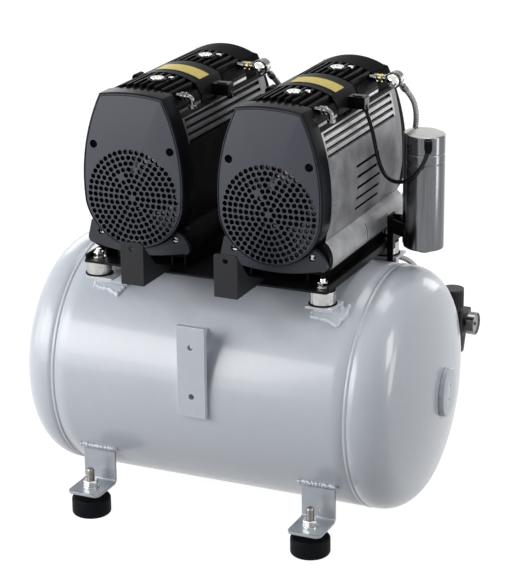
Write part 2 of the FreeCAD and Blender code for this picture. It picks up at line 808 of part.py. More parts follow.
def cap(back, face_y, lean, drop, screws):
    """Hollow cap with a leaning face, a ring grille and sunk screw wells."""
    outline = moved(cover_outline(0, drop), y=-back)
    outer = outline.extrude(Y * -60).cut(lean_block(face_y, lean))
    rim = [e for e in outer.Edges if e.BoundBox.YMax < -back - 4 and e.Length > 40]
    outer = outer.makeFillet(cover_edge_round, rim)
    small = moved(outline.makeOffset2D(-cover_wall), y=5)
    shell = outer.cut(small.extrude(Y * -70).cut(lean_block(face_y - cover_wall, lean)))
    posts = [rod(screw_head + 2.4, 60, (x, -back - 60, z), Y).common(outer) for x, z in screws]
    tools = grille_tools(face_y)
    for x, z in screws:
        tools.append(rod(screw_head + gap, 80, (x, -back - 80 - screw_sink, z), Y))
        tools.append(rod(screw_shank + bolt_fit, 80, (x, -back - 70, z), Y))
    return cut(fuse([shell] + posts), tools)


def front_cover():
    """Deep cap over the front fan."""
    return cap(housing_front, cover_face_y, cover_lean, 0.0, upper_screws())


def rear_cover():
    """Shallow cap with a hood that reaches forward over the housing's deck."""
    plate = mirror_y(cap(housing_rear, rear_cover_face, rear_cover_lean, rear_cover_drop,
                         rear_screws()))
    y0, y1 = head_outer_y + gap, housing_rear
    outer = arch_solid(0, deck_z, y0, y1 + 2)
    inner = arch_solid(saddle_wall, deck_z - 1, y0 + saddle_wall, y1 + 3)
    return fuse([plate, outer.cut(inner)])


def pan_screw(x, z, seat, radius=screw_head, length=screw_sink + 10):
    """Slotted screw whose head sits in front of a seat, drawn at the front."""
    head = rod(radius, 2.6, (x, -seat - 2.6, z), Y)
    shank = rod(screw_shank, length, (x, -seat, z), Y)
    slot = box(x - 3, x + 3, -seat - 3, -seat - 1.6, z - 0.5, z + 0.5)
    return fuse([head, shank]).cut(slot)


def cover_screws():
    """Screws of both covers and of the end flange."""
    front = [pan_screw(x, z, housing_front + screw_sink) for x, z in upper_screws()]
    corner = [pan_screw(x, z, flange_front - flange_well_depth, flange_head, 11)
              for x, z in flange_screws()]
    rear = [mirror_y(pan_screw(x, z, housing_rear + screw_sink)) for x, z in rear_screws()]
    return front + corner + rear


# ================================================================ motor and crank
def stator():
    """Laminated core with teeth, and the two winding heads."""
    core = pipe(stator_radius, rotor_radius + air_gap, 2 * stator_half, (0, -stator_half, 0), Y)
    slots = []
    for i in range(12):
        slot = box(rotor_radius + 4, winding_outer, -stator_half - 1, stator_half + 1, -3, 3)
        slot.rotate(Vector(0, 0, 0), Y, 30 * i)
        slots.append(slot)
    core = cut(core, slots)
    heads = [pipe(winding_outer, winding_inner, winding_length, (0, stator_half, 0), Y),
             pipe(winding_outer, winding_inner, winding_length,
                  (0, -stator_half - winding_length, 0), Y)]
    return group([core] + heads)


def bearing_bracket():
    """Plate across the housing that carries a shaft bearing, drawn at the front."""
    y0 = -bracket_inner - bracket_thick
    plate = cavity_face()
    plate = plate.makeOffset2D(-gap)
    plate.translate(Y * y0)
    plate = plate.extrude(Y * bracket_thick)
    windows = []
    for angle in (45, 135, 225, 315):
        a = math.radians(angle)
        windows.append(rod(10, bracket_thick + 2, (36 * math.cos(a), y0 - 1, 36 * math.sin(a)), Y))
    seat = rod(bearing_radius, bearing_width, (0, y0, 0), Y)
    way = rod(shaft_radius + 2, bracket_thick + 2, (0, y0 - 1, 0), Y)
    ring = rod(hub_radius, 2, (0, y0 + bracket_thick, 0), Y)
    return fuse([plate, ring]).cut(Part.Compound(windows + [seat, way])).cut(
        rod(shaft_radius + 2, 8, (0, y0 + bracket_thick - 1, 0), Y))


def bearing():
    y0 = -bracket_inner - bracket_thick
    return pipe(bearing_radius, shaft_radius + running_fit, bearing_width, (0, y0, 0), Y)


def crank(side):
    """Eccentric and counterweight on one end of the shaft."""
    y0 = side * crank_y - crank_length / 2
    disc = rod(crank_radius, crank_length, (0, y0, crank_throw), Y)
    weight_y = side * (crank_y + crank_length / 2) + (0 if side > 0 else -weight_thick)
    weight = rod(weight_radius, weight_thick, (0, weight_y, 0), Y)
    weight = weight.cut(box(-40, 40, -200, 200, 4, 60))
    return [disc, weight]


def shaft():
    """Shaft, rotor, eccentrics and counterweights, pressed together."""
    pieces = [rod(shaft_radius, 2 * shaft_half, (0, -shaft_half, 0), Y),
              rod(rotor_radius, 2 * stator_half, (0, -stator_half, 0), Y)]
    pieces += crank(-1) + crank(1)
    return fuse(pieces)


def fan():
    """Cooling fan with pitched blades, drawn at the front."""
    y0 = -fan_y - fan_width
    pieces = [rod(fan_hub, fan_width, (0, y0, 0), Y)]
    for i in range(fan_blades):
        blade = box(fan_hub - 2, fan_radius, -blade_sheet / 2, blade_sheet / 2,
                    -fan_width / 2, fan_width / 2)
        blade.rotate(Vector(0, 0, 0), X, 48)
        blade.translate(Y * (y0 + fan_width / 2))
        blade.rotate(Vector(0, 0, 0), Y, 360 / fan_blades * i)
        pieces.append(blade)
    limit = rod(fan_radius, fan_width, (0, y0, 0), Y)
    return fuse(pieces).common(limit).cut(rod(shaft_radius + running_fit, fan_width + 2, (0, y0 - 1, 0), Y))


def piston(side):
    """Rocking piston: head, rod and the big end, in one piece."""
    inner = crank_radius + 2 * crank_throw + open_pivot
    outer = inner + rod_ring
    y0 = side * crank_y - rod_width / 2
    ring = rod(outer, rod_width, (0, y0, 0), Y)
    stem = box(-6, 6, y0, y0 + rod_width, outer - 3, piston_mid + 1)
    head = rod(bore_radius - running_fit, piston_height, (0, side * crank_y, piston_mid))
    return fuse([ring, stem, head]).cut(rod(inner, rod_width + 2, (0, y0 - 1, 0), Y))


def cylinder(side):
    return pipe(bore_radius + cylinder_wall, bore_radius, deck_z - cylinder_bottom,
                (0, side * crank_y, cylinder_bottom))


# ================================================================ heads and saddle
def arch_z(x):
    """Height of the arched top at a distance from the pump's middle."""
    rise = head_arch_z - head_top_z
    radius = (head_top_half ** 2 + rise ** 2) / (2 * rise)
    return head_arch_z - radius + math.sqrt(radius ** 2 - x ** 2)


def arch_solid(inset, base, y0, y1):
    """Block with sloping shoulders and an arched top, drawn along the pump."""
    b, t = head_base_half - inset, head_top_half - inset
    shoulder, top, mid = head_shoulder_z, head_top_z - inset, head_arch_z - inset
    edges = [line((-b, y0, base), (b, y0, base)), line((b, y0, base), (b, y0, shoulder)),
             line((b, y0, shoulder), (t, y0, top)), arc((t, y0, top), (0, y0, mid), (-t, y0, top)),
             line((-t, y0, top), (-b, y0, shoulder)), line((-b, y0, shoulder), (-b, y0, base))]
    return Part.Face(Part.Wire(edges)).extrude(Y * (y1 - y0))


def head_span(side):
    return (head_inner_y, head_outer_y) if side > 0 else (-head_outer_y, -head_inner_y)


def valve_plate_piece(side):
    y0, y1 = head_span(side)
    plate = box(-head_base_half, head_base_half, y0, y1, deck_z, deck_z + valve_plate)
    ports = [rod(3.0, 10, (x, side * crank_y + y, deck_z - 3)) for x in (-10, 10) for y in (-6, 6)]
    return cut(plate, ports)


def cylinder_head(side):
    """Cast head: ribs along the pump, a plug boss and two air chambers."""
    y0, y1 = head_span(side)
    base = deck_z + valve_plate
    body = arch_solid(0, base, y0, y1)
    grooves = []
    for i in range(head_rib_count + 1):
        x = (i - head_rib_count / 2) * head_rib_pitch
        half = (head_rib_pitch - head_rib_sheet) / 2
        floor = arch_z(min(abs(x), head_top_half)) - head_rib_height
        grooves.append(box(x - half, x + half, y0 - 1, y1 + 1, floor, floor + 20))
    boss = rod(head_boss, 12, (plug_x, side * crank_y, head_arch_z - 11.5))
    seat = rod(plug_cap + gap, 12, (plug_x, side * crank_y, head_arch_z - 3.5))
    screw = side * crank_y + side_screw_y
    lug = rod(side_screw + 2, 10.5, (side_screw_x, screw, head_arch_z - 12))
    well = rod(screw_shank + bolt_fit, 12, (side_screw_x, screw, head_arch_z - 9))
    chambers = [box(x0, x1, y0 + chamber_wall, y1 - chamber_wall, base - 1, base + 14)
                for x0, x1 in ((-39, -3), (3, 39))]
    tools = [seat, well] + chambers + head_ports(side)
    return cut(fuse([cut(body, grooves), boss, lug]), tools)


def head_ports(side):
    """Bores for the elbow or outlet on the right and the transfer pipe on the left."""
    right = outlet_y if side > 0 else elbow_y
    return [rod(elbow_tube + gap, 40, (port_x, side * right, elbow_z), X),
            rod(pipe_radius + gap, 30, (-pipe_end_x, side * elbow_y, pipe_z), X * -1)]


def head_plug_set(side):
    """Round plug and a small screw beside it."""
    y = side * crank_y
    low = head_arch_z - 3.5
    plug = rod(plug_cap, plug_top_z - low, (plug_x, y, low))
    plug = plug.makeFillet(1.0, [e for e in plug.Edges if e.BoundBox.ZMin > plug_top_z - 0.1])
    plug = plug.cut(rod(plug_cap - 4, 10, (plug_x, y, plug_top_z - 1.6)))
    top = head_arch_z - 1.5
    y = side * crank_y + side_screw_y
    screw = fuse([rod(side_screw + 0.8, 2.4, (side_screw_x, y, top)),
                  rod(screw_shank, 6, (side_screw_x, y, top - 6))])
    return [plug, screw]


def saddle():
    """Cover between the two heads, hollow for the wiring, with a gland on the left."""
    outer = arch_solid(0, deck_z, -saddle_half, saddle_half)
    inner = arch_solid(saddle_wall, deck_z - 1, -saddle_half + saddle_wall,
                       saddle_half - saddle_wall)
    gland = rod(gland_radius, 16, (gland_x, -saddle_half, head_top_z - 1), Y)
    bead = rod(gland_radius - 1.5, 3, (gland_x, -saddle_half - 0.5, head_top_z - 1), Y)
    return fuse([outer.cut(inner), gland.cut(inner)]).cut(bead)


def label_plate():
    """Thin plate that follows the arch of the saddle."""
    skin = arch_solid(-gap - label_sheet, deck_z, label_y0, label_y1)
    return skin.cut(arch_solid(-gap, deck_z - 5, label_y0 - 1, label_y1 + 1)).common(
        box(label_x0, label_x1, -100, 100, head_top_z - 3, head_arch_z + 5))


def terminal_box():
    """Connector on the right shoulder, with a clip on top and the cable's exit below."""
    x0 = head_base_half
    y0, y1 = box_y - box_depth / 2, box_y + box_depth / 2
    top = box_z + box_height
    body = box(x0, x0 + box_width, y0, y1, box_z, top)
    corner = [e for e in body.Edges if e.BoundBox.YLength > 5 and e.BoundBox.XMin > x0 + 5]
    body = body.makeFillet(2.0, [e for e in corner if e.BoundBox.ZMin > box_z + 5])
    clip = box(x0 + 6, x0 + 18, y0 + 2, y0 + 6, top, top + 1.5)
    exit_sleeve = sleeve(cable_points, cable_sleeve, 9)
    place = Vector(-pump_pitch / 2, -pump_y, -shaft_z)
    exit_sleeve.translate(place)
    return fuse([body, clip, exit_sleeve])


def elbow():
    """Small bright elbow: out of the front head to the right, then turned down."""
    y, z = -elbow_y, elbow_z
    turn = 6.0
    corner = elbow_reach - turn
    out = rod(elbow_tube, corner - port_x, (port_x, y, z), X)
    bend = Part.makeTorus(turn, elbow_tube, Vector(corner, y, z - turn), Y)
    bend = bend.common(box(corner, corner + 20, y - 10, y + 10, z - turn, z + 10))
    down = rod(elbow_tube, elbow_drop - turn, (elbow_reach, y, z - elbow_drop))
    nuts = [rod(elbow_tube + 2, 3.5, (x, y, z), X) for x in (head_base_half - 2.5, corner - 3.5)]
    collar = rod(elbow_tube + 2.2, 4, (elbow_reach, y, z - elbow_drop))
    return fuse([out, bend, down, collar] + nuts)


def barb_end(x):
    """End of the hose barb of the pump that stands at x, in the machine's frame."""
    middle = Vector(x + outlet_x, pump_y + outlet_y + 5, shaft_z + elbow_z)
    return middle + Vector(*barb_offset)


def outlet():
    """Bright fitting on the rear head: nuts, a capped body and a hose barb."""
    y, z = outlet_y, elbow_z
    run = rod(elbow_tube, outlet_x - port_x, (port_x, y, z), X)
    nuts = [rod(elbow_tube + 2, 4, (x, y, z), X) for x in (47.5, 54, 60)]
    body = rod(outlet_radius, 15, (outlet_x, y - 5, z), Y)
    front = rod(outlet_radius - 2.5, 5, (outlet_x + 1, y - 9.5, z), Y)
    direction = Vector(*barb_offset)
    middle = Vector(outlet_x, y + 5, z)
    barb = Part.makeCylinder(hose_diameter / 2 - 1, direction.Length, middle, direction)
    end = middle + direction
    direction.normalize()
    ferrule = Part.makeCylinder(hose_diameter / 2 + 1, 8, end - direction * 8, direction)
    return fuse([run, body, front, barb, ferrule] + nuts)


def transfer_pipe():
    """Pipe along the left shoulder from the front head to the rear head."""
    y, z, x = elbow_y, pipe_z, -pipe_x
    run = rod(pipe_radius, 2 * y, (x, -y, z), Y)
    ends = [rod(pipe_radius, pipe_x - pipe_end_x, (x, side * y, z), X) for side in (-1, 1)]
    reach = pipe_radius + 1.2
    elbows = [rod(reach, 2 * reach, (x, side * y - reach, z), Y) for side in (-1, 1)]
    return fuse([run] + ends + elbows)


# ================================================================ capacitors
def can_places():
    return [(can_x, can_y, can_bottom_z),
            (can_x + can_step_x, can_y + can_step_y, can_bottom_z + can_step_z)]


def capacitor(place):
    """Aluminium can with two rolled grooves, a top plug and a mounting stud."""
    x, y, z = place
    can = rod(can_radius, can_height, (x, y, z))
    can = can.makeFillet(1.5, [e for e in can.Edges if e.Length > can_radius * 6])
    rings = [pipe(can_radius + 2, can_radius - can_groove, 1.4, (x, y, z + can_height - drop))
             for drop in (24, 36)]
    can = cut(can, rings)
    stud = rod(can_stud, can_stud_length, (x, y, z - can_stud_length))
    return fuse([can, stud])


def capacitor_boot(place):
    """Rubber boot on the side of a can, open below for the lead."""
    x, y, z = place
    boot = box(can_radius - 3, boot_reach, -boot_width / 2, boot_width / 2,
               boot_z, boot_z + boot_height)
    boot = boot.makeFillet(1.5, [e for e in boot.Edges if e.BoundBox.XMin > boot_reach - 1])
    boot = boot.cut(rod(can_radius + gap, 60, (0, 0, boot_z - 20)))
    boot.rotate(Vector(0, 0, 0), Z, boot_angle)
    entry = sleeve(cable_points[::-1], cable_sleeve, 6)
    entry.translate(Vector(-can_x, -can_y, -can_bottom_z))
    return moved(fuse([boot, entry]), x, y, z)


def cradle(place, facing):
    """Half ring round a can, open away from the direction it faces."""
    x, y = place[0], place[1]
    ring = pipe(can_radius + gap + cradle_sheet, can_radius + gap, cradle_height, (0, 0, cradle_z))
    half = box(0, 60, -60, 60, cradle_z - 1, cradle_z + 60)
    half.rotate(Vector(0, 0, 0), Z, facing)
    return moved(ring.common(half), x, y)


def capacitor_bracket():
    """Angle on the base plate's right side, with an arm and a cradle for each can."""
    x0 = plate_length / 2
    x1 = x0 + post_sheet
    (front_x, front_y, low), (rear_x, rear_y, low) = can_places()
    top = cradle_z + cradle_height
    pieces = [box(x0, x1, post_y, post_y + post_depth, plate_z - 6, post_top_z),
              box(x0, x0 + post_flange, post_y, post_y + post_sheet, post_low_z, post_top_z),
              cradle(can_places()[0], 150), cradle(can_places()[1], 180),
              box(x1 - 1, rear_x - can_radius - 1, rear_y - 1.5, rear_y + 1.5, cradle_z, top)]
    start = Vector(x1 - 1, post_y + 1.5, 0)
    end = Vector(front_x - 22.0, front_y + 11.5, 0)
    along = end - start
    arm = box(0, along.Length, -1.5, 1.5, cradle_z, top)
    arm.rotate(Vector(0, 0, 0), Z, math.degrees(math.atan2(along.y, along.x)))
    pieces.append(moved(arm, start.x, start.y))
    return fuse(pieces)


# ================================================================ rear air line
def air_block():
    """Distributor on the receiver's back, with its socket and hose fittings."""
    x0, x1 = block_x0, block_x1
    block = box(x0, x1, line_y - block_half, line_y + block_half,
                line_z - block_half, line_z + block_half)
    sx = socket_x()
    socket = rod(socket_radius, line_y - block_half - tank_back(line_z + socket_radius) + 1,
                 (sx, tank_back(line_z + socket_radius) - 1, line_z), Y)
    top = line_z + block_half
    stem = rod(7, switch_z0 - top, ((switch_x0 + switch_x1) / 2, line_y, top))
    barbs = [fuse([rod(barb_nut, 8, (x, line_y, top)),
                   rod(barb_radius, barb_top_z - top, (x, line_y, top))]) for x in barb_x]
    outlet = rod(9, regulator_x - regulator_half - x1, (x1, line_y, line_z), X)
    return fuse([block, socket.cut(drum()), stem, outlet] + barbs)


def pressure_switch():
    x0, x1 = switch_x0, switch_x1
    y0, y1 = line_y - switch_depth / 2, line_y + switch_depth / 2 - 1
    body = box(x0, x1, y0, y1, switch_z0, switch_z0 + switch_height)
    edges = [e for e in body.Edges if e.BoundBox.ZLength > 10]
    body = body.makeFillet(4, edges)
    collar = rod(8, 4, (switch_mid(), line_y, switch_z0 + switch_height))
    gland = rod(7, 10, (x0 - 10, line_y, switch_z0 + 20), X)
    return fuse([body, collar, gland])


def switch_mid():
    return (switch_x0 + switch_x1) / 2


def switch_knob():
    z = switch_z0 + switch_height + 4
    knob = rod(knob_radius, knob_height - 6, (switch_mid(), line_y, z))
    grip = box(switch_mid() - knob_radius + 1, switch_mid() + knob_radius - 1,
               line_y - 3, line_y + 3, z + knob_height - 7, z + knob_height)
    return fuse([knob, grip])


def regulator_body_piece():
    x, y = regulator_x, line_y
    half = regulator_half
    body = box(x - half, x + half, y - half + 1, y + half, line_z - 15, line_z + regulator_body - 15)
    body = body.makeFillet(3, [e for e in body.Edges if e.BoundBox.ZLength > 10])
    neck = rod(regulator_knob_radius - 3, 4, (x, y, line_z + regulator_body - 15))
    port = rod(port_radius, port_depth + 5, (x, y + half - port_depth, line_z), Y)
    return fuse([body, neck]).cut(port)


def regulator_knob():
    z = line_z + regulator_body - 15 + 4
    height = regulator_knob_height
    knob = rod(regulator_knob_radius, height, (regulator_x, line_y, z))
    grooves = []
    for i in range(24):
        a = math.radians(15 * i)
        grooves.append(rod(0.9, height - 6, (regulator_x + regulator_knob_radius * math.cos(a),
                                             line_y + regulator_knob_radius * math.sin(a), z + 3)))
    return cut(knob, grooves)


def regulator_bowl():
    x, y = regulator_x, line_y
    z = line_z - 15
    cone = Part.makeCone(bowl_radius, bowl_radius - 3, bowl_height, Vector(x, y, z), Z * -1)
    core = Part.makeCone(bowl_radius - 2, bowl_radius - 5, bowl_height - 2, Vector(x, y, z), Z * -1)
    tip = rod(4, drain_tip, (x, y, z - bowl_height - drain_tip))
    return fuse([cone.cut(core), tip])


def gauge():
    """Gauge case with a sunk dial, facing along the line."""
    x1 = gauge_end_x
    case = rod(gauge_radius, gauge_depth, (x1 - gauge_depth, line_y, line_z), X)
    sink = rod(gauge_radius - 1.5, 3, (x1 - 3, line_y, line_z), X)
    stem = rod(5, x1 - gauge_depth - regulator_x - regulator_half,
               (regulator_x + regulator_half, line_y, line_z), X)
    pin = rod(1.0, 2.6, (x1 - 3, line_y, line_z), X)
    return fuse([case.cut(sink), stem, pin])


def gauge_needle():
    x = gauge_end_x - 2.2
    hub = rod(2.4, 0.8, (x, line_y, line_z), X)
    hand = box(x, x + 0.8, line_y - 0.6, line_y + 0.6, line_z, line_z + needle_length)
    hand.rotate(Vector(x, line_y, line_z), X, 60)
    return fuse([hub, hand]).cut(rod(1.0 + running_fit, 3, (x - 1, line_y, line_z), X))


def relief_valve():
    """Safety valve on the end of the distributor, with its pull ring post."""
    x = block_x0
    body = rod(relief_radius, relief_length, (x - relief_length, line_y, line_z), X)
    nut = rod(relief_radius + 2, 6, (x - 8, line_y, line_z), X)
    bore = rod(2 + bolt_fit, 8, (x - relief_length - 2, line_y, line_z), X)
    return fuse([body, nut]).cut(bore)


def relief_pin():
    """Pin and ring that lift the safety valve's disc."""
    x = block_x0 - relief_length
    pin = rod(2, 12, (x - 7, line_y, line_z), X)
    ring = Part.makeTorus(8, 1.3, Vector(x - 14.0, line_y, line_z), Y)
    return fuse([pin, ring])


def drain_valve():
    """Small ball valve on a socket under the receiver, led out to the rear."""
    socket = rod(drain_radius + 3, 22, (drain_x, drain_y, drain_z))
    pipe_run = rod(drain_radius, drain_length, (drain_x, drain_y - 10, drain_z), Y)
    ball = rod(drain_radius + 2, 18, (drain_x, lever_y - 9, drain_z), Y)
    seat = rod(3.5, 6, (drain_x, lever_y, drain_z))
    flat = box(drain_x - 20, drain_x + 20, lever_y - 20, lever_y + 20,
               drain_z + drain_radius + 1, drain_z + 20)
    bore = rod(2.5, 30, (drain_x, drain_y - 10 + drain_length - 29, drain_z), Y)
    body = fuse([pipe_run, ball, seat]).cut(flat)
    return fuse([socket.cut(drum()), body]).cut(bore)


def drain_lever():
    """Flat lever on the valve's stem."""
    z = drain_z + drain_radius + 1
    hub = rod(5.0, lever_sheet + 0.5, (drain_x, lever_y, z))
    arm = box(drain_x - lever_width / 2, drain_x + lever_width / 2, lever_y,
              lever_y + lever_length, z + 0.5, z + 0.5 + lever_sheet)
    tip = [e for e in arm.Edges if e.BoundBox.ZLength > 1 and e.BoundBox.YMin > lever_y + 10]
    return fuse([hub, arm.makeFillet(3.0, tip)])


# ================================================================ cords
def hose_path(x, rest):
    """Route of a hose: the barb, a short run straight on from it, then the listed points."""
    start = barb_end(x)
    ahead = Vector(*barb_offset)
    ahead.normalize()
    return [tuple(start), tuple(start + ahead * 18)] + rest


# ================================================================ assembly
def pump_pieces(left_or_right, x):
    """Pieces that make up one pump, in nodes of its own."""
    place = dict(x=x, y=pump_y, z=shaft_z)
    blade_set = fan()
    pieces = {
        "housing": [housing()],
        "front_cover": [front_cover()],
        "rear_cover": [rear_cover()],
        "cylinder_heads": [cylinder_head(-1), cylinder_head(1)],
        "saddle": [saddle(), label_plate()],
        "shaft": [shaft()],
        "fans": [blade_set, mirror_y(blade_set)],
        "front_piston": [piston(-1)],
        "rear_piston": [piston(1)],
    }
    return {left_or_right + "_" + name: [moved(s, **place) for s in shapes]
            for name, shapes in pieces.items()}


def both_pumps(shapes):
    """Identical pieces of the two pumps, which share a node."""
    return [moved(s, x, pump_y, shaft_z) for x in (-pump_pitch / 2, pump_pitch / 2) for s in shapes]


def nodes():
    right_head = tank_head()
    core, ring = isolator()
    bracket = bearing_bracket()
    race = bearing()
    cans = can_places()
    made = {
        "tank_shell": [tank_shell()],
        "tank_heads": [right_head, mirror_x(right_head)],
        "inspection_plugs": [inspection_plug()],
        "tank_legs": four_ways(leg()),
        "rubber_feet": four_ways(rubber_foot()),
        "foot_studs": four_ways(foot_stud()),
        "front_strap": [wall_strap()],
        "isolator_brackets": isolator_brackets(),
        "isolators": four_ways(core) + four_ways(ring),
        "isolator_bolts": four_ways(isolator_bolt_set()),
        "base_plate": [base_plate()],
        "front_tabs": [front_tab(-tab_x), front_tab(tab_x)],
        "mount_rails": [mount_rail(p * pump_pitch / 2 + r * rail_offset)
                        for p in (-1, 1) for r in (-1, 1)],
        "bearing_brackets": both_pumps([bracket, mirror_y(bracket)]),
        "bearings": both_pumps([race, mirror_y(race)]),
        "stators": both_pumps([stator()]),
        "cylinders": both_pumps([cylinder(-1), cylinder(1)]),
        "valve_plates": both_pumps([valve_plate_piece(-1), valve_plate_piece(1)]),
        "head_plugs": both_pumps(head_plug_set(-1) + head_plug_set(1)),
        "cover_screws": both_pumps(cover_screws()),
        "terminal_boxes": both_pumps([terminal_box()]),
        "air_fittings": both_pumps([elbow(), outlet()]),
        "transfer_pipes": both_pumps([transfer_pipe()]),
        "capacitors": [capacitor(p) for p in cans] + [capacitor_boot(p) for p in cans],
        "capacitor_bracket": [capacitor_bracket()],
        "air_block": [air_block()],
        "pressure_switch": [pressure_switch()],
        "switch_knob": [switch_knob()],
        "regulator_body": [regulator_body_piece()],
        "regulator_knob": [regulator_knob()],
        "regulator_bowl": [regulator_bowl()],
        "pressure_gauge": [gauge()],
        "gauge_needle": [gauge_needle()],
        "relief_valve": [relief_valve()],
        "relief_pin": [relief_pin()],
        "drain_valve": [drain_valve()],
        "drain_lever": [drain_lever()],
        "capacitor_cable": [cord_tube(cable_points, cable_diameter, "capacitor_cable")],
        "right_hose": [cord_tube(hose_path(pump_pitch / 2, right_hose_points), hose_diameter,
                                 "right_hose")],
        "left_hose": [cord_tube(hose_path(-pump_pitch / 2, left_hose_points), hose_diameter,
                                "left_hose")],
    }
    made.update(pump_pieces("left", -pump_pitch / 2))
    made.update(pump_pieces("right", pump_pitch / 2))
    return made


def main():
    os.makedirs("parts", exist_ok=True)
    for name, shapes in nodes().items():
        shape = group([moved(s, y=front_shift) for s in shapes])
        if len(shape.Solids) == 1:
            shape = shape.Solids[0]
        shape.exportStep(os.path.join("parts", name + ".step"))
        print(name, len(shape.Solids), "solids", round(shape.Volume / 1000, 1), "cm3",
              "valid" if shape.isValid() else "INVALID")


main()
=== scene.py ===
# %% [markdown]
# # The looks of a two-pump air compressor
# Two oil-free pumps stand side by side on a horizontal air receiver. The shapes that carry, seal
# and move are already fixed in the frame that is loaded here. This lesson gives each surface its
# form and finish: gloss paint, sand casting, moulded covers, bright fittings, braided hoses.

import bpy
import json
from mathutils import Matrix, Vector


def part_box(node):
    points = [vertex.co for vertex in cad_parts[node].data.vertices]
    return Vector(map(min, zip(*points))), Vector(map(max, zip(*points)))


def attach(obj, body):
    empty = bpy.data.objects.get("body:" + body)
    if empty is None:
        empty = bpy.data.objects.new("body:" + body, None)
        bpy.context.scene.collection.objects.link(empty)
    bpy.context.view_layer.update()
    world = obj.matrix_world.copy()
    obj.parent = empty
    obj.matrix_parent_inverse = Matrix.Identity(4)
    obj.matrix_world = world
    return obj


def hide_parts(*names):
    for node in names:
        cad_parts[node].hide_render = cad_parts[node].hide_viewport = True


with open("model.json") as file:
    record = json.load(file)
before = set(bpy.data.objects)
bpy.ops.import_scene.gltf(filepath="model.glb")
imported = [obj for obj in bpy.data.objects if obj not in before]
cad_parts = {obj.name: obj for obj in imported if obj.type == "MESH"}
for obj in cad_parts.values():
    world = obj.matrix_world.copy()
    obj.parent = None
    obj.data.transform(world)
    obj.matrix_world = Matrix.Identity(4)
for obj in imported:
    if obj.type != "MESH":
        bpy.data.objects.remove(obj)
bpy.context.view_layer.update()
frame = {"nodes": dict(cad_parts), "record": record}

# %% Modules
import cmath
import json
import math

import bmesh
import bpy
from mathutils import Matrix, Vector

MM = 0.001
scene = bpy.context.scene
scene.view_settings.view_transform = "Standard"
print("modules ready")

# %% [markdown]
# ## Camera
# A product is best seen from a little to one side and a little above. The camera is placed by its
# turn round the machine, its height above the horizon and a slight roll, and a long lens keeps the
# two pumps nearly the same size. The matrix is written out so that each angle stays readable.

# %% Camera
CAMERA_TURN = math.radians(24.54)
CAMERA_RISE = math.radians(18.92)
CAMERA_ROLL = math.radians(-0.645)
CAMERA_PLACE = (1.1111, -2.3983, 1.1852)
SENSOR, LENS, SHIFT_X, SHIFT_Y = 36.0, 136.84, 0.0003, -0.0045


def linked(name, data):
    """Object at the origin in the scene."""
    obj = bpy.data.objects.new(name, data)
    scene.collection.objects.link(obj)
    return obj


def camera_matrix():
    """Axes of a camera that looks back along the turn and rise, then rolls."""
    back = Vector((math.sin(CAMERA_TURN) * math.cos(CAMERA_RISE),
                   -math.cos(CAMERA_TURN) * math.cos(CAMERA_RISE),
                   math.sin(CAMERA_RISE)))
    right = Vector((math.cos(CAMERA_TURN), math.sin(CAMERA_TURN), 0.0))
    up = back.cross(right)
    roll = Matrix.Rotation(CAMERA_ROLL, 3, back)
    axes = Matrix([roll @ right, roll @ up, back]).transposed()
    return Matrix.Translation(CAMERA_PLACE) @ axes.to_4x4()


camera = linked("camera", bpy.data.cameras.new("camera"))
camera.data.sensor_fit = "VERTICAL"
camera.data.sensor_height = SENSOR
camera.data.lens = LENS
camera.data.shift_x = SHIFT_X
camera.data.shift_y = SHIFT_Y
camera.matrix_world = camera_matrix()
scene.camera = camera
print("camera", [round(v, 3) for v in camera.location])

# %% [markdown]
# ## Routes of the lead and the hoses
# A cord is a smooth line of fixed length, so it is drawn as one NURBS spline through the same
# control points that its solid follows. Order 3 keeps the line close to its corners, and the end
# points are held. The capacitor's lead is thin and limp. The two air hoses are stiffer, and they
# drop behind the pumps to the fittings at the back of the receiver.

# %% Routes
FRONT_SHIFT = -7.0
LINE_STEPS, ROUND_STEPS = 12, 5

lead_route = [
    (160.7, 10.0, 523.5), (161.3, 19.5, 508.5), (162.0, 29.5, 491.0), (163.5, 35.0, 471.0),
    (167.5, 36.5, 452.0), (176.0, 32.5, 438.5), (188.5, 26.5, 433.0), (203.0, 19.5, 434.5),
    (218.5, 11.5, 442.5), (230.5, 7.5, 455.5), (237.8, 8.0, 467.5), (240.8, 10.1, 478.0)]
right_hose_route = [
    (172.4, 114.4, 526.8), (177.89, 125.83, 514.03),
    (182.0, 128.5, 495.5), (181.0, 129.0, 476.0), (177.0, 131.0, 457.5), (171.8, 137.5, 440.0),
    (168.0, 149.0, 422.0), (163.5, 161.5, 402.0), (155.0, 171.0, 381.0), (145.0, 176.5, 359.0),
    (137.0, 179.8, 335.0), (132.5, 181.2, 311.0), (130.5, 181.8, 287.0), (130.0, 182.0, 263.0),
    (130.0, 182.0, 240.0)]
left_hose_route = [
    (-9.6, 114.4, 526.8), (-4.11, 125.83, 514.03),
    (-0.5, 128.5, 495.5), (0.2, 129.0, 476.0), (0.0, 129.5, 457.0), (-0.3, 132.0, 433.0),
    (0.2, 135.0, 409.0), (1.0, 138.0, 385.0), (3.5, 141.0, 361.0), (11.0, 144.5, 338.0),
    (24.0, 147.5, 318.0), (42.0, 149.5, 303.0), (64.0, 150.5, 294.0), (88.0, 151.0, 290.0),
    (111.0, 154.5, 289.0), (131.0, 163.0, 288.0), (149.0, 172.0, 285.5), (162.5, 178.5, 276.0),
    (171.0, 182.0, 259.0), (171.0, 182.0, 240.0)]


def in_metres(route):
    """Points of a route in the frame's metres."""
    return [Vector((x * MM, (y + FRONT_SHIFT) * MM, z * MM)) for x, y, z in route]


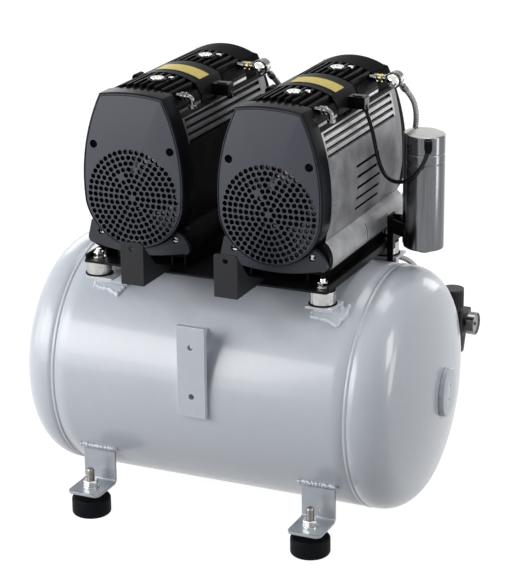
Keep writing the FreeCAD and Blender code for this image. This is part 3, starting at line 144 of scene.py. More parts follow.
def spline_object(name, route, radius):
    """Curve of one NURBS spline through the route's control points."""
    data = bpy.data.curves.new(name, "CURVE")
    data.dimensions = "3D"
    data.resolution_u = LINE_STEPS
    data.bevel_depth = radius
    data.bevel_resolution = ROUND_STEPS
    data.use_fill_caps = True
    spline = data.splines.new("NURBS")
    spline.points.add(len(route) - 1)
    for point, place in zip(spline.points, in_metres(route)):
        point.co = (*place, 1.0)
    spline.order_u = 3
    spline.use_endpoint_u = True
    return linked(name, data)


def evaluated_mesh(obj):
    """New mesh of an object with its modifiers applied."""
    depsgraph = bpy.context.evaluated_depsgraph_get()
    return bpy.data.meshes.new_from_object(obj.evaluated_get(depsgraph))


def points_along(route):
    """Points of the bare spline, from one end to the other."""
    bare = spline_object("bare_line", route, 0.0)
    mesh = evaluated_mesh(bare)
    points = [vertex.co.copy() for vertex in mesh.vertices]
    bpy.data.objects.remove(bare)
    bpy.data.meshes.remove(mesh)
    return points


for route_name, route in (("lead", lead_route), ("right hose", right_hose_route),
                          ("left hose", left_hose_route)):
    points = points_along(route)
    print(route_name, round(sum((b - a).length for a, b in zip(points, points[1:])), 4), "m")

# %% [markdown]
# ## Short calls for node trees
# Materials, shader groups and geometry trees are all graphs of nodes. A small class adds a node,
# feeds each input with a plain value or with another node's output, and hands back an output. A
# group has named inputs and outputs besides, so whoever uses it only states its own values.

# %% Node trees


class Graph:
    """A node tree, emptied, with short calls."""

    def __init__(self, tree):
        self.tree = tree
        tree.nodes.clear()

    def add(self, kind, out=0, settings=None, **feeds):
        """Adds a node, feeds inputs by name or number, and gives one output, or all for None."""
        node = self.tree.nodes.new(kind)
        for key, value in (settings or {}).items():
            setattr(node, key, value)
        for key, value in feeds.items():
            numbered = key[1:].isdigit()
            socket = node.inputs[int(key[1:]) if numbered else key.replace("_", " ")]
            if isinstance(value, bpy.types.NodeSocket):
                self.tree.links.new(value, socket)
            else:
                socket.default_value = value
        return node.outputs if out is None or not node.outputs else node.outputs[out]

    def math(self, operation, first, second=0.0, clamp=False):
        return self.add("ShaderNodeMath", settings={"operation": operation, "use_clamp": clamp},
                        i0=first, i1=second)

    def product(self, *values):
        whole = values[0]
        for value in values[1:]:
            whole = self.math("MULTIPLY", whole, value)
        return whole

    def spread(self, value, low, high, to_low=0.0, to_high=1.0):
        """Stretches a value from one range to another, clamped."""
        return self.add("ShaderNodeMapRange", Value=value, From_Min=low, From_Max=high,
                        To_Min=to_low, To_Max=to_high)


class Group(Graph):
    """Node group with (title, kind, default) inputs and (title, kind) outputs."""

    def __init__(self, name, tree_kind, inputs, outputs):
        super().__init__(bpy.data.node_groups.new(name, tree_kind))
        face = self.tree.interface
        for title, kind, default in inputs:
            socket = face.new_socket(title, in_out="INPUT", socket_type="NodeSocket" + kind)
            if default is not None:
                socket.default_value = default
        for title, kind in outputs:
            face.new_socket(title, in_out="OUTPUT", socket_type="NodeSocket" + kind)
        self.enter = self.tree.nodes.new("NodeGroupInput")
        self.leave = self.tree.nodes.new("NodeGroupOutput")

    def get(self, title):
        return self.enter.outputs[title]

    def give(self, **results):
        """Feeds the group's outputs and hands back its tree."""
        for title, value in results.items():
            self.tree.links.new(value, self.leave.inputs[title])
        return self.tree


print("node helpers ready")

# %% [markdown]
# ## Floor, sky and lamps
# The machine stands in a white studio. Camera and mirror-like rays see white; the light that falls
# on the machine comes from a moderate sky and a few large soft lamps, so paint renders about as it
# is written. The floor is lit by the same lamps, and so it keeps a soft shadow.

# %% Backdrop
FLOOR_HALF, FLOOR_GREY, FLOOR_GLOW = 6.0, (0.25, 0.25, 0.26, 1.0), 0.95
SKY_TINT, SKY_FILL, WHITE = (0.93, 0.96, 1.0, 1.0), 0.24, (1.0, 1.0, 1.0, 1.0)


def seen_directly(graph):
    """Value that is 1 for camera, mirror and glass rays."""
    path = graph.add("ShaderNodeLightPath", None)
    direct = graph.math("MAXIMUM", path["Is Camera Ray"], path["Is Glossy Ray"])
    return graph.math("MAXIMUM", direct, path["Is Transmission Ray"])


def empty_material(name):
    """Material without nodes, and the graph that fills it."""
    material = bpy.data.materials.new(name)
    material.use_nodes = True
    return material, Graph(material.node_tree)


floor_finish, graph = empty_material("studio_floor")
diffuse = graph.add("ShaderNodeBsdfDiffuse", Color=FLOOR_GREY)
glow = graph.add("ShaderNodeEmission", Color=WHITE,
                 Strength=graph.product(seen_directly(graph), FLOOR_GLOW))
graph.add("ShaderNodeOutputMaterial", Surface=graph.add("ShaderNodeAddShader", i0=diffuse, i1=glow))
floor_mesh = bpy.data.meshes.new("studio_floor")
floor_mesh.from_pydata([(x * FLOOR_HALF, y * FLOOR_HALF, 0) for x, y in
                        ((-1, -1), (1, -1), (1, 1), (-1, 1))], [], [(0, 1, 2, 3)])
floor_mesh.materials.append(floor_finish)
floor = linked("studio_floor", floor_mesh)

world = bpy.data.worlds.new("studio_sky")
scene.world = world
world.use_nodes = True
graph = Graph(world.node_tree)
fill_sky = graph.add("ShaderNodeBackground", Color=SKY_TINT, Strength=SKY_FILL)
white_sky = graph.add("ShaderNodeBackground", Color=WHITE, Strength=1.0)
graph.add("ShaderNodeOutputWorld", Surface=graph.add(
    "ShaderNodeMixShader", i0=seen_directly(graph), i1=fill_sky, i2=white_sky))
print("floor", FLOOR_HALF * 2, "m across, sky strength", SKY_FILL)

# %% Lamps
LAMPS = [  # name, place, aim, width, height, watts, and whether matte surfaces are lit too
    ("wall_left", (-1.25, -1.45, 0.90), (0.0, -0.1, 0.50), 1.7, 0.9, 25.0, True),
    ("wall_low", (-1.25, -1.45, 0.26), (0.0, -0.1, 0.20), 1.7, 0.38, 5.0, True),
    ("window_right", (1.9, -0.2, 1.1), (0.1, 0.0, 0.4), 0.5, 0.9, 12.0, True),
    ("strip_right", (1.45, 0.12, 0.28), (0.24, 0.0, 0.42), 0.32, 0.5, 2.6, False),
    ("strip_rear", (0.62, 1.3, 0.45), (0.24, 0.0, 0.42), 0.3, 0.5, 1.5, False),
    ("sheen_left", (-1.25, -1.45, 0.90), (0.0, -0.1, 0.50), 1.7, 0.9, 12.0, False),
    ("side_left", (-1.9, -0.5, 0.5), (-0.2, 0.0, 0.2), 0.6, 0.8, 4.0, True),
    ("overhead", (0.1, 0.4, 2.2), (0.0, 0.0, 0.3), 1.2, 0.8, 12.0, True),
    ("rear_left", (-1.6, 1.5, 1.2), (0.0, 0.0, 0.3), 1.0, 1.0, 7.0, True)]

for name, place, aim, width, height, power, lights_matte in LAMPS:
    lamp = linked(name, bpy.data.lights.new(name, "AREA"))
    lamp.data.shape = "RECTANGLE"
    lamp.data.size = width
    lamp.data.size_y = height
    lamp.data.energy = power
    lamp.location = place
    lamp.rotation_euler = (Vector(aim) - Vector(place)).to_track_quat("-Z", "Y").to_euler()
    lamp.visible_diffuse = lights_matte
print("lamps", len(LAMPS))

# %% [markdown]
# ## Shader groups
# Four effects come back on many surfaces: a fine grain that breaks up paint and plastic, the
# pitted skin of sand-cast metal, the drawn lines of brushed metal, and the crossing wires of a
# braid. Each is one node group whose mask mixes two colours and two roughnesses and serves as the
# height of the bump. The shader itself stays in the material.

# %% Shader groups
FINISH_INPUTS = [
    ("Light Color", "Color", (0.5, 0.5, 0.5, 1)), ("Dark Color", "Color", (0.4, 0.4, 0.4, 1)),
    ("Rough Low", "Float", 0.3), ("Rough High", "Float", 0.5), ("Scale", "Float", 400.0)]
FINISH_OUTPUTS = [("Color", "Color"), ("Roughness", "Float"), ("Height", "Float")]
NOISE_LOW, NOISE_HIGH, SPECK_LOW, SPECK_HIGH = 0.3, 0.7, 0.52, 0.72
CLOUD_SHARE, CLOUD_TOP, SPECK_TOP, DRAWN_STRETCH, BRAID_STRANDS = 0.05, 0.55, 0.6, 0.02, 9.0


def scaled_noise(group, place, share=1.0, detail=4.0, roughness=0.55):
    """Noise whose scale is a share of the group's Scale input."""
    return group.add("ShaderNodeTexNoise", Scale=group.product(group.get("Scale"), share),
                     Detail=detail, Roughness=roughness, Vector=place)


def grain_mask(group, places):
    return group.spread(scaled_noise(group, places["Object"]), NOISE_LOW, NOISE_HIGH)


def cast_mask(group, places):
    """Broad clouds with small bright specks, as on a sand casting."""
    place = places["Object"]
    cloud = group.spread(scaled_noise(group, place, CLOUD_SHARE, detail=3.0),
                         NOISE_LOW, NOISE_HIGH, 0.0, CLOUD_TOP)
    speck = group.spread(scaled_noise(group, place, detail=2.0, roughness=0.7),
                         SPECK_LOW, SPECK_HIGH, 0.0, SPECK_TOP)
    return group.math("ADD", cloud, speck, clamp=True)


def drawn_mask(group, places):
    """Noise that is stretched along Z, as drawn or turned metal shows."""
    place = group.add("ShaderNodeMapping", Vector=places["Object"], Scale=(1.0, 1.0, DRAWN_STRETCH))
    return group.spread(scaled_noise(group, place), NOISE_LOW, NOISE_HIGH)


def braid_mask(group, places):
    """Diamonds of two crossing helices: U runs once round the hose, V is in metres along it."""
    split = group.add("ShaderNodeSeparateXYZ", None, i0=places["UV"])
    around = group.product(split["X"], BRAID_STRANDS)
    along = group.product(split["Y"], group.get("Scale"))
    waves = [group.math("SINE", group.product(group.math(way, around, along), 2 * math.pi))
             for way in ("ADD", "SUBTRACT")]
    return group.spread(group.product(*waves), -0.5, 0.5)


def finish_group(name, mask_maker):
    """Group that mixes its two colours and two roughnesses by a mask."""
    group = Group(name, "ShaderNodeTree", FINISH_INPUTS, FINISH_OUTPUTS)
    mask = mask_maker(group, group.add("ShaderNodeTexCoord", None))
    color = group.add("ShaderNodeMix", 2, {"data_type": "RGBA"}, i0=mask,
                      i6=group.get("Dark Color"), i7=group.get("Light Color"))
    rough = group.add("ShaderNodeMix", 0, {"data_type": "FLOAT"}, i0=mask,
                      i2=group.get("Rough Low"), i3=group.get("Rough High"))
    return group.give(Color=color, Roughness=rough, Height=mask)


grain = finish_group("fine_grain", grain_mask)
cast = finish_group("sand_cast", cast_mask)
drawn = finish_group("drawn_metal", drawn_mask)
braid = finish_group("wire_braid", braid_mask)


def finished_material(name, group, light, dark, rough, scale, bump=0.1, depth=0.0002, **shader):
    """Principled material whose colour, roughness and bump come from a finish group."""
    material, graph = empty_material(name)
    finish = graph.add("ShaderNodeGroup", None, {"node_tree": group}, Light_Color=(*light, 1.0),
                       Dark_Color=(*dark, 1.0), Rough_Low=rough[0], Rough_High=rough[1],
                       Scale=scale)
    relief = graph.add("ShaderNodeBump", Strength=bump, Distance=depth, Height=finish["Height"])
    shade = graph.add("ShaderNodeBsdfPrincipled", Base_Color=finish["Color"],
                      Roughness=finish["Roughness"], Normal=relief, **shader)
    graph.add("ShaderNodeOutputMaterial", Surface=shade)
    return material


print("shader groups", [group.name for group in bpy.data.node_groups])

# %% [markdown]
# ## Paints, plastics and metals
# The receiver wears a smooth pale grey gloss paint, so it gets a clear coat over a faint mottle.
# The covers are moulded with a fine satin grain. The pump bodies are sand cast, which leaves
# bright specks in a matte grey. Zinc plate, chrome, turned steel and brass differ in how much the
# drawn lines show. A row holds the group, the light and the dark colour, the range of roughness,
# the scale, and what the shader needs besides.

# %% Materials
GLOSS = dict(depth=0.0004, Coat_Weight=0.5, Coat_Roughness=0.1)
MATERIALS = {
    "receiver_paint": (grain, (0.55, 0.585, 0.635), (0.53, 0.565, 0.615), (0.3, 0.36), 90.0,
                       dict(bump=0.03, **GLOSS)),
    "bracket_paint": (grain, (0.68, 0.71, 0.76), (0.64, 0.67, 0.72), (0.3, 0.36), 90.0,
                      dict(bump=0.03, **GLOSS)),
    "leg_paint": (grain, (0.40, 0.43, 0.465), (0.36, 0.385, 0.42), (0.3, 0.38), 90.0,
                  dict(bump=0.04, depth=0.0003, Metallic=0.2, Coat_Weight=0.3, Coat_Roughness=0.15)),
    "cover_plastic": (grain, (0.042, 0.046, 0.064), (0.033, 0.036, 0.051), (0.32, 0.38), 1800.0,
                      dict(bump=0.2, depth=0.0001, Specular_IOR_Level=0.36)),
    # Painted shade: darker, nearly unreflective copy of the cover plastic for the cover's side walls.
    "cover_flank": (grain, (0.007, 0.0075, 0.009), (0.005, 0.0055, 0.006), (0.22, 0.3), 1800.0,
                    dict(depth=0.0001, Specular_IOR_Level=0.05)),
    "flange_coat": (grain, (0.021, 0.025, 0.034), (0.014, 0.017, 0.023), (0.34, 0.42), 1200.0,
                    dict(bump=0.2, depth=0.0001, Specular_IOR_Level=0.3)),
    "black_moulding": (grain, (0.009, 0.009, 0.010), (0.006, 0.006, 0.007), (0.3, 0.4), 1800.0,
                       dict(bump=0.25, depth=0.00012, Specular_IOR_Level=0.004)),
    "black_plastic": (grain, (0.012, 0.012, 0.013), (0.007, 0.007, 0.008), (0.35, 0.5), 1500.0,
                      dict(bump=0.2, Specular_IOR_Level=0.28)),
    "gloss_black": (grain, (0.007, 0.007, 0.008), (0.004, 0.004, 0.005), (0.16, 0.24), 900.0,
                    dict(Specular_IOR_Level=0.12)),
    "black_powder": (grain, (0.012, 0.0125, 0.017), (0.007, 0.0075, 0.010), (0.38, 0.5), 1200.0,
                     dict(bump=0.3, Specular_IOR_Level=0.24)),
    "plate_black": (grain, (0.006, 0.006, 0.007), (0.004, 0.004, 0.004), (0.35, 0.45), 1200.0,
                    dict(bump=0.3, Specular_IOR_Level=0.1)),
    # Painted shade: near black in the grooves, vent slots and joint line of the casting.
    "groove_black": (grain, (0.006, 0.006, 0.006), (0.003, 0.003, 0.003), (0.6, 0.75), 900.0,
                     dict(bump=0.2, Specular_IOR_Level=0.05)),
    "foot_rubber": (grain, (0.004, 0.005, 0.007), (0.002, 0.003, 0.004), (0.5, 0.7), 900.0,
                    dict(bump=0.3, Specular_IOR_Level=0.07)),
    "lead_rubber": (grain, (0.008, 0.008, 0.009), (0.004, 0.004, 0.005), (0.18, 0.26), 900.0,
                    dict(Specular_IOR_Level=0.22)),
    "cast_body": (cast, (0.46, 0.46, 0.475), (0.17, 0.17, 0.18), (0.42, 0.6), 900.0,
                  dict(bump=0.5, depth=0.0003, Metallic=0.15, Specular_IOR_Level=0.4)),
    # Painted shade: near-black copy of the casting for the left pump's side that faces the other
    # pump.
    "cast_shade": (cast, (0.030, 0.030, 0.033), (0.009, 0.009, 0.010), (0.42, 0.6), 900.0,
                   dict(bump=0.5, depth=0.0003, Specular_IOR_Level=0.01)),
    # Painted light: much lighter copy of the casting for the rounded foot, where the lamps light it
    # most.
    "cast_foot": (cast, (0.78, 0.78, 0.79), (0.34, 0.34, 0.35), (0.4, 0.55), 900.0,
                  dict(bump=0.5, depth=0.0003, Metallic=0.1)),
    # Painted highlight: lighter copy of the casting for the ridge tops, where the overhead light
    # catches them.
    "ridge_metal": (cast, (0.66, 0.66, 0.66), (0.36, 0.36, 0.37), (0.36, 0.5), 900.0,
                    dict(bump=0.3, Metallic=0.4)),
    # Painted shade: the ridge highlight dimmed for the left pump, which stands in the other pump's
    # shadow.
    "ridge_dull": (cast, (0.20, 0.20, 0.21), (0.08, 0.08, 0.085), (0.36, 0.5), 900.0,
                   dict(bump=0.3, Metallic=0.3)),
    "black_casting": (cast, (0.014, 0.014, 0.016), (0.003, 0.003, 0.004), (0.26, 0.42), 900.0,
                      dict(bump=0.4, depth=0.0003, Specular_IOR_Level=0.025)),
    "ring_zinc": (grain, (0.47, 0.47, 0.46), (0.38, 0.38, 0.37), (0.16, 0.24), 160.0,
                  dict(bump=0.05, Metallic=1.0)),
    "zinc_plate": (grain, (0.44, 0.45, 0.48), (0.40, 0.41, 0.44), (0.30, 0.38), 120.0,
                   dict(bump=0.05, Metallic=1.0)),
    "thread_steel": (grain, (0.30, 0.28, 0.26), (0.17, 0.16, 0.15), (0.25, 0.4), 500.0,
                     dict(Metallic=1.0)),
    "chrome": (grain, (0.80, 0.80, 0.77), (0.66, 0.66, 0.64), (0.08, 0.18), 500.0,
               dict(bump=0.05, Metallic=1.0)),
    "fitting_steel": (grain, (0.26, 0.26, 0.25), (0.12, 0.12, 0.12), (0.1, 0.22), 500.0,
                      dict(Metallic=1.0)),
    "brass": (grain, (0.58, 0.48, 0.20), (0.40, 0.33, 0.13), (0.2, 0.38), 500.0,
              dict(bump=0.05, Metallic=1.0)),
    "bare_aluminium": (cast, (0.66, 0.66, 0.67), (0.42, 0.42, 0.43), (0.3, 0.5), 700.0,
                       dict(bump=0.2, Metallic=1.0)),
    "turned_steel": (drawn, (0.46, 0.46, 0.45), (0.30, 0.30, 0.30), (0.22, 0.4), 700.0,
                     dict(Metallic=1.0)),
    "can_aluminium": (drawn, (0.165, 0.168, 0.175), (0.12, 0.123, 0.13), (0.14, 0.22), 900.0,
                      dict(bump=0.06, Metallic=1.0)),
    "copper_wire": (drawn, (0.55, 0.22, 0.09), (0.35, 0.13, 0.05), (0.25, 0.4), 900.0,
                    dict(bump=0.2, Metallic=1.0)),
    "braided_wire": (braid, (0.46, 0.46, 0.44), (0.10, 0.10, 0.10), (0.34, 0.34), 170.0,
                     dict(bump=0.6, depth=0.0004, Metallic=0.7)),
    "label_yellow": (grain, (0.64, 0.50, 0.06), (0.50, 0.39, 0.045), (0.3, 0.45), 220.0,
                     dict(bump=0.2, depth=0.0004)),
    "dial_white": (grain, (0.68, 0.68, 0.66), (0.64, 0.64, 0.62), (0.4, 0.5), 300.0,
                   dict(bump=0.02))}
finishes = {name: finished_material(name, *row[:5], **row[5]) for name, row in MATERIALS.items()}
print("materials", len(finishes))

# %% [markdown]
# ## From solid to piece
# A solid from the drawing has razor edges, and no real edge is that sharp. Most pieces start as a
# merged copy of their solid; a small bevel then catches a line of light along each edge. The copy
# keeps its place, rides on the same body as its solid and stands in for it. Pieces with a shape
# of their own are skins over rings of points.

# %% Copies of solids
SAME_PLACE, NO_LENGTH, FLAT_WITHIN = 2e-6, 1e-6, math.radians(0.6)


def merged_copy(node):
    """Bmesh of a node's solids with shared vertices and whole flat faces."""
    bm = bmesh.new()
    bm.from_mesh(frame["nodes"][node].data)
    bmesh.ops.remove_doubles(bm, verts=bm.verts, dist=SAME_PLACE)
    bmesh.ops.dissolve_degenerate(bm, dist=NO_LENGTH, edges=bm.edges)
    bmesh.ops.dissolve_limit(bm, angle_limit=FLAT_WITHIN, verts=bm.verts, edges=bm.edges)
    return bm


def solids_in(bm):
    """Lists of the faces of each separate solid."""
    left = set(bm.faces)
    groups = []
    while left:
        faces = [left.pop()]
        for face in faces:
            near = {other for edge in face.edges for other in edge.link_faces} & left
            left -= near
            faces += near
        groups.append(faces)
    return groups


def box_of(faces):
    """Lowest and highest corner of some faces."""
    points = [v.co for f in faces for v in f.verts]
    return (Vector([min(p[i] for p in points) for i in range(3)]),
            Vector([max(p[i] for p in points) for i in range(3)]))


def solid_boxes(node):
    """Boxes of a node's separate solids, from left to right and front to back."""
    bm = merged_copy(node)
    boxes = sorted((box_of(faces) for faces in solids_in(bm)),
                   key=lambda box: [round(value, 4) for value in box[0]])
    bm.free()
    return boxes


def keep_solids(bm, wanted):
    """Deletes the solids whose box the test refuses."""
    for faces in solids_in(bm):
        if not wanted(*box_of(faces)):
            bmesh.ops.delete(bm, geom=faces, context="FACES")
    loose = [v for v in bm.verts if not v.link_faces]
    bmesh.ops.delete(bm, geom=loose, context="VERTS")


print("solids of the isolators", len(solid_boxes("isolators")))

# %% Skins over rings


def skin(bm, rings, capped=False, looped=False):
    """Faces from each ring of points to the next; a ring of one point is a tip."""
    made = [[bm.verts.new(point) for point in ring] for ring in rings]
    following = made[1:] + made[:1] if looped else made[1:]
    for first, second in zip(made, following):
        count = max(len(first), len(second))
        for j in range(count):
            k = (j + 1) % count
            corners = dict.fromkeys([first[j % len(first)], first[k % len(first)],
                                     second[k % len(second)], second[j % len(second)]])
            bm.faces.new(list(corners))
    if capped:
        bm.faces.new(made[0])
        bm.faces.new(made[-1])
    return bm


def outward(bm):
    """The same bmesh with its normals turned outwards."""
    bmesh.ops.recalc_face_normals(bm, faces=bm.faces)
    return bm


def circle(middle, side, other, radius, steps):
    """Points round a middle, in the plane of two directions."""
    return [middle + (side * math.cos(a) + other * math.sin(a)) * radius
            for a in (2 * math.pi * j / steps for j in range(steps))]


def lathe(bm, base, axis, profile, steps, side=None, looped=False):
    """Turned solid from (radius, distance) pairs along an axis, in millimetres."""
    axis = Vector(axis)
    side = Vector(side or axis.orthogonal().normalized())
    rings = [circle(base + axis * along * MM, side, axis.cross(side), radius * MM,
                    steps if radius else 1) for radius, along in profile]
    return skin(bm, rings, looped=looped)


print("skins ready")

# %% Piece makers
SMOOTH_BELOW = math.radians(32)
body_of_node = {node: body for body, members in frame["record"]["behaviour"]["bodies"].items()
                for node in members}


def plain_mesh(name, bm):
    """Mesh from a bmesh, which is used up."""
    mesh = bpy.data.meshes.new(name)
    bm.to_mesh(mesh)
    bm.free()
    return mesh


def smooth_object(name, mesh, sharp_from=SMOOTH_BELOW):
    """Object at the origin, smooth below the sharp angle."""
    for polygon in mesh.polygons:
        polygon.use_smooth = True
    mesh.set_sharp_from_angle(angle=sharp_from)
    return linked(name, mesh)


def mesh_piece(name, bm, finish, sharp_from=SMOOTH_BELOW):
    mesh = plain_mesh(name, bm)
    mesh.materials.append(finishes[finish])
    return smooth_object(name, mesh, sharp_from)


def soften(obj, width, segments=2):
    """Small bevel on every sharp edge."""
    bevel = obj.modifiers.new("soft_edges", "BEVEL")
    bevel.width = width
    bevel.segments = segments
    bevel.limit_method = "ANGLE"
    bevel.angle_limit = SMOOTH_BELOW
    bevel.use_clamp_overlap = False
    bevel.harden_normals = True
    return obj


def stand_in(obj, slot, *nodes):
    """The piece rides where its nodes do, and is shown in their place."""
    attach(obj, body_of_node[nodes[0]])
    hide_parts(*nodes)
    return obj


def softened_copy(node, finish, slot, width, wanted=None, name=None):
    """Piece that is a bevelled copy of a node, or of some of its solids; width in millimetres."""
    bm = merged_copy(node)
    if wanted:
        keep_solids(bm, wanted)
    obj = soften(mesh_piece(name or node + "_finished", bm, finish), width * MM)
    return stand_in(obj, slot, node)


def turned_piece(name, finish, slot, node, bases, axis, shapes, width=0.25):
    """Piece of turned solids: every (profile, steps) shape on every base."""
    bm = bmesh.new()
    for base in bases:
        for profile, steps in shapes:
            lathe(bm, base, axis, profile, steps)
    stand_in(soften(mesh_piece(name, outward(bm), finish), width * MM), slot, node)


def paint_faces(obj, finish_of):
    """Gives each face the finish that its middle and normal call for, if any."""
    used = [material and material.name for material in obj.data.materials]
    for polygon in obj.data.polygons:
        finish = finish_of(polygon.center, polygon.normal)
        if finish and finish not in used:
            used.append(finish)
            obj.data.materials.append(finishes[finish])
        if finish:
            polygon.material_index = used.index(finish)


print("piece makers ready")

# %% [markdown]
# ## Geometry node trees
# Grille holes, grooves, vents and weld beads repeat a small shape at many places. Each tree takes
# a mesh, puts shapes where they belong, realizes the copies and sets the material. Its sizes are
# named inputs. Once it has run, its result is kept as a plain mesh.

# %% Geometry trees
ACROSS = (math.pi / 2, 0.0, 0.0)
INPUT_KINDS = {int: "Int", float: "Float", tuple: "Vector"}


class Tree(Group):
    """Geometry tree; its sizes are given as Name=default, and its last input is the material."""

    def __init__(self, name, **sizes):
        inputs = [(title.replace("_", " "), INPUT_KINDS[type(value)], value)
                  for title, value in sizes.items()]
        super().__init__(name, "GeometryNodeTree", [("Geometry", "Geometry", None), *inputs,
                                                    ("Material", "Material", None)],
                         [("Geometry", "Geometry")])

    def vector(self, x=0.0, y=0.0, z=0.0):
        return self.add("ShaderNodeCombineXYZ", X=x, Y=y, Z=z)

    def shift(self, geometry, x=0.0, y=0.0, z=0.0, turn=(0.0, 0.0, 0.0)):
        return self.add("GeometryNodeTransform", Geometry=geometry,
                        Translation=self.vector(x, y, z), Rotation=turn)

    def both_sides(self, geometry, x, y, z):
        """The same shape at x and at minus x."""
        return [self.shift(geometry, self.product(x, sign), y, z) for sign in (1.0, -1.0)]

    def bar(self, sides, radius, depth):
        """Cylinder along Y."""
        cylinder = self.add("GeometryNodeMeshCylinder", Vertices=sides, Radius=radius, Depth=depth)
        return self.shift(cylinder, turn=ACROSS)

    def row_of_cubes(self, size, count, start, offset):
        line = self.add("GeometryNodeMeshLine", Count=count, Start_Location=start, Offset=offset)
        return self.add("GeometryNodeInstanceOnPoints", Points=line,
                        Instance=self.add("GeometryNodeMeshCube", Size=size))

    def cut_away(self, *tools):
        """Sets the tools round the middle and takes them away from the base mesh."""
        joined = self.tree.nodes.new("GeometryNodeJoinGeometry")
        for tool in reversed(tools):
            self.tree.links.new(tool, joined.inputs[0])
        whole = self.add("GeometryNodeRealizeInstances", Geometry=joined.outputs[0])
        moved = self.add("GeometryNodeTransform", Geometry=whole, Translation=self.get("Middle"))
        return self.finish(self.add("GeometryNodeMeshBoolean", settings={"operation": "DIFFERENCE"},
                                    Mesh_1=self.get("Geometry"), Mesh_2=moved))

    def finish(self, geometry):
        whole = self.add("GeometryNodeRealizeInstances", Geometry=geometry)
        return self.give(Geometry=self.add("GeometryNodeSetMaterial", Geometry=whole,
                                           Material=self.get("Material")))


def baked(name, bm, tree, finish, **sizes):
    """Runs a tree on a bmesh and gives the result as a plain object."""
    base = linked(name + "_base", plain_mesh(name + "_base", bm))
    modifier = base.modifiers.new("maker", "NODES")
    modifier.node_group = tree
    identifiers = {item.name: item.identifier for item in tree.interface.items_tree
                   if item.in_out == "INPUT"}
    modifier[identifiers["Material"]] = finishes[finish]
    for title, value in sizes.items():
        modifier[identifiers[title.replace("_", " ")]] = value
    mesh = evaluated_mesh(base)
    mesh.name = name
    bpy.data.objects.remove(base)
    return smooth_object(name, mesh)


print("input kinds", sorted(INPUT_KINDS.values()))

# %% [markdown]
# ## Receiver
# The pressure vessel is a rolled shell with a dished head welded on each end. A dished head has a
# shallow crown and a tight knuckle that meet in a tangent. A profile is spun round the axis: it
# follows the shell, the narrow weld between two fine grooves, the knuckle and the crown.

# %% Receiver
shell_low, shell_high = [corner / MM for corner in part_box("tank_shell")]
AXIS_Y, AXIS_Z = (shell_low.y + shell_high.y) / 2, (shell_low.z + shell_high.z) / 2
TANK_RADIUS, SEAM_X = (shell_high.z - shell_low.z) / 2, shell_high.x
TANGENT_X, CROWN, KNUCKLE = 209.0, 399.0, 42.0
SEAM_SHAPE = [(-3.4, 0.0), (-2.9, -0.5), (-2.4, -0.55), (-2.0, 0.0), (-1.2, 0.5), (0.0, 0.7),
              (1.2, 0.5), (2.0, 0.0), (2.4, -0.55), (2.9, -0.5), (3.4, 0.0)]


def head_profile():
    """(radius, x) points of a dished head, from its tangent line to its middle."""
    quarter = math.radians(90)
    reach = math.asin((TANK_RADIUS - KNUCKLE) / (CROWN - KNUCKLE))
    middle = TANGENT_X - (CROWN - KNUCKLE) * math.cos(reach)
    turns = [quarter + (reach - quarter) * step / 16 for step in range(1, 17)]
    points = [(TANK_RADIUS - KNUCKLE + KNUCKLE * math.sin(a), TANGENT_X + KNUCKLE * math.cos(a))
              for a in turns]
    return points + [(CROWN * math.sin(a), middle + CROWN * math.cos(a))
                     for a in (reach * (1 - step / 12) for step in range(1, 13))]


def receiver_profile():
    half = [(TANK_RADIUS, SEAM_X * i / 10) for i in range(10)]
    half += [(TANK_RADIUS + rise, SEAM_X + x) for x, rise in SEAM_SHAPE]
    half += [(TANK_RADIUS, TANGENT_X)] + head_profile()
    return [(radius, -x) for radius, x in reversed(half[1:])] + half


receiver_bm = lathe(bmesh.new(), Vector((0, AXIS_Y, AXIS_Z)) * MM, (1, 0, 0), receiver_profile(),
                    192, side=(0, 1, 0))
receiver = mesh_piece("receiver_skin", outward(receiver_bm), "receiver_paint", math.radians(60))
stand_in(receiver, "tank_paint", "tank_shell", "tank_heads")
print("receiver", len(receiver.data.polygons), "faces")

# %% [markdown]
# ## Where the pumps are
# Each pump turns about its own shaft, so the shaft joint gives the pump's middle. Everything on a
# pump is drawn about that point once and then set down twice.

# %% Pump places
PUMPS = {joint["name"].split("_")[0]: Vector(joint["pos_m"])
         for joint in frame["record"]["behaviour"]["joints"]
         if joint["name"].endswith("shaft_spin")}


def pump_point(side, x, y, z):
    """A point given in millimetres from a pump's middle, in the frame."""
    return PUMPS[side] + Vector((x, y, z)) * MM


def outline_ring(side, outline, y):
    """Places of an outline's (x, z) points at a distance along a pump's shaft."""
    return [pump_point(side, x, y, z) for x, z in outline]


def arc(a, b, c, steps):
    """Points of the arc from a through b to c, without the last one."""
    a, b, c = complex(*a), complex(*b), complex(*c)
    ratio = (c - a) / (b - a)
    middle = a + (b - a) * (ratio - abs(ratio) ** 2) / (2j * ratio.imag)
    via, sweep = [cmath.phase((end - middle) / (a - middle)) % (2 * math.pi) for end in (b, c)]
    if via > sweep:
        sweep -= 2 * math.pi
    turned = [middle + (a - middle) * cmath.exp(1j * sweep * i / steps) for i in range(steps)]
    return [(point.real, point.imag) for point in turned]


def arc_line(start, *arcs):
    """Points along arcs that follow each other; each is (a point on it, its end, steps)."""
    points = []
    for via, end, steps in arcs:
        points += arc(start, via, end, steps)
        start = end
    return points


def both_halves(half):
    """Closed outline from its right half."""
    return half + [(-x, z) for x, z in reversed(half)]


def inset(outline, distance):
    """Closed outline moved inwards, corner by corner."""
    moved = []
    for i, (x, z) in enumerate(outline):
        before, after = outline[i - 1], outline[(i + 1) % len(outline)]
        first = Vector((x - before[0], z - before[1])).normalized()
        second = Vector((after[0] - x, after[1] - z)).normalized()
        normal = Vector((-(first.y + second.y), first.x + second.x)).normalized()
        step = distance / max(0.5, normal.dot(Vector((-first.y, first.x))))
        moved.append((x + normal.x * step, z + normal.y * step))
    return moved


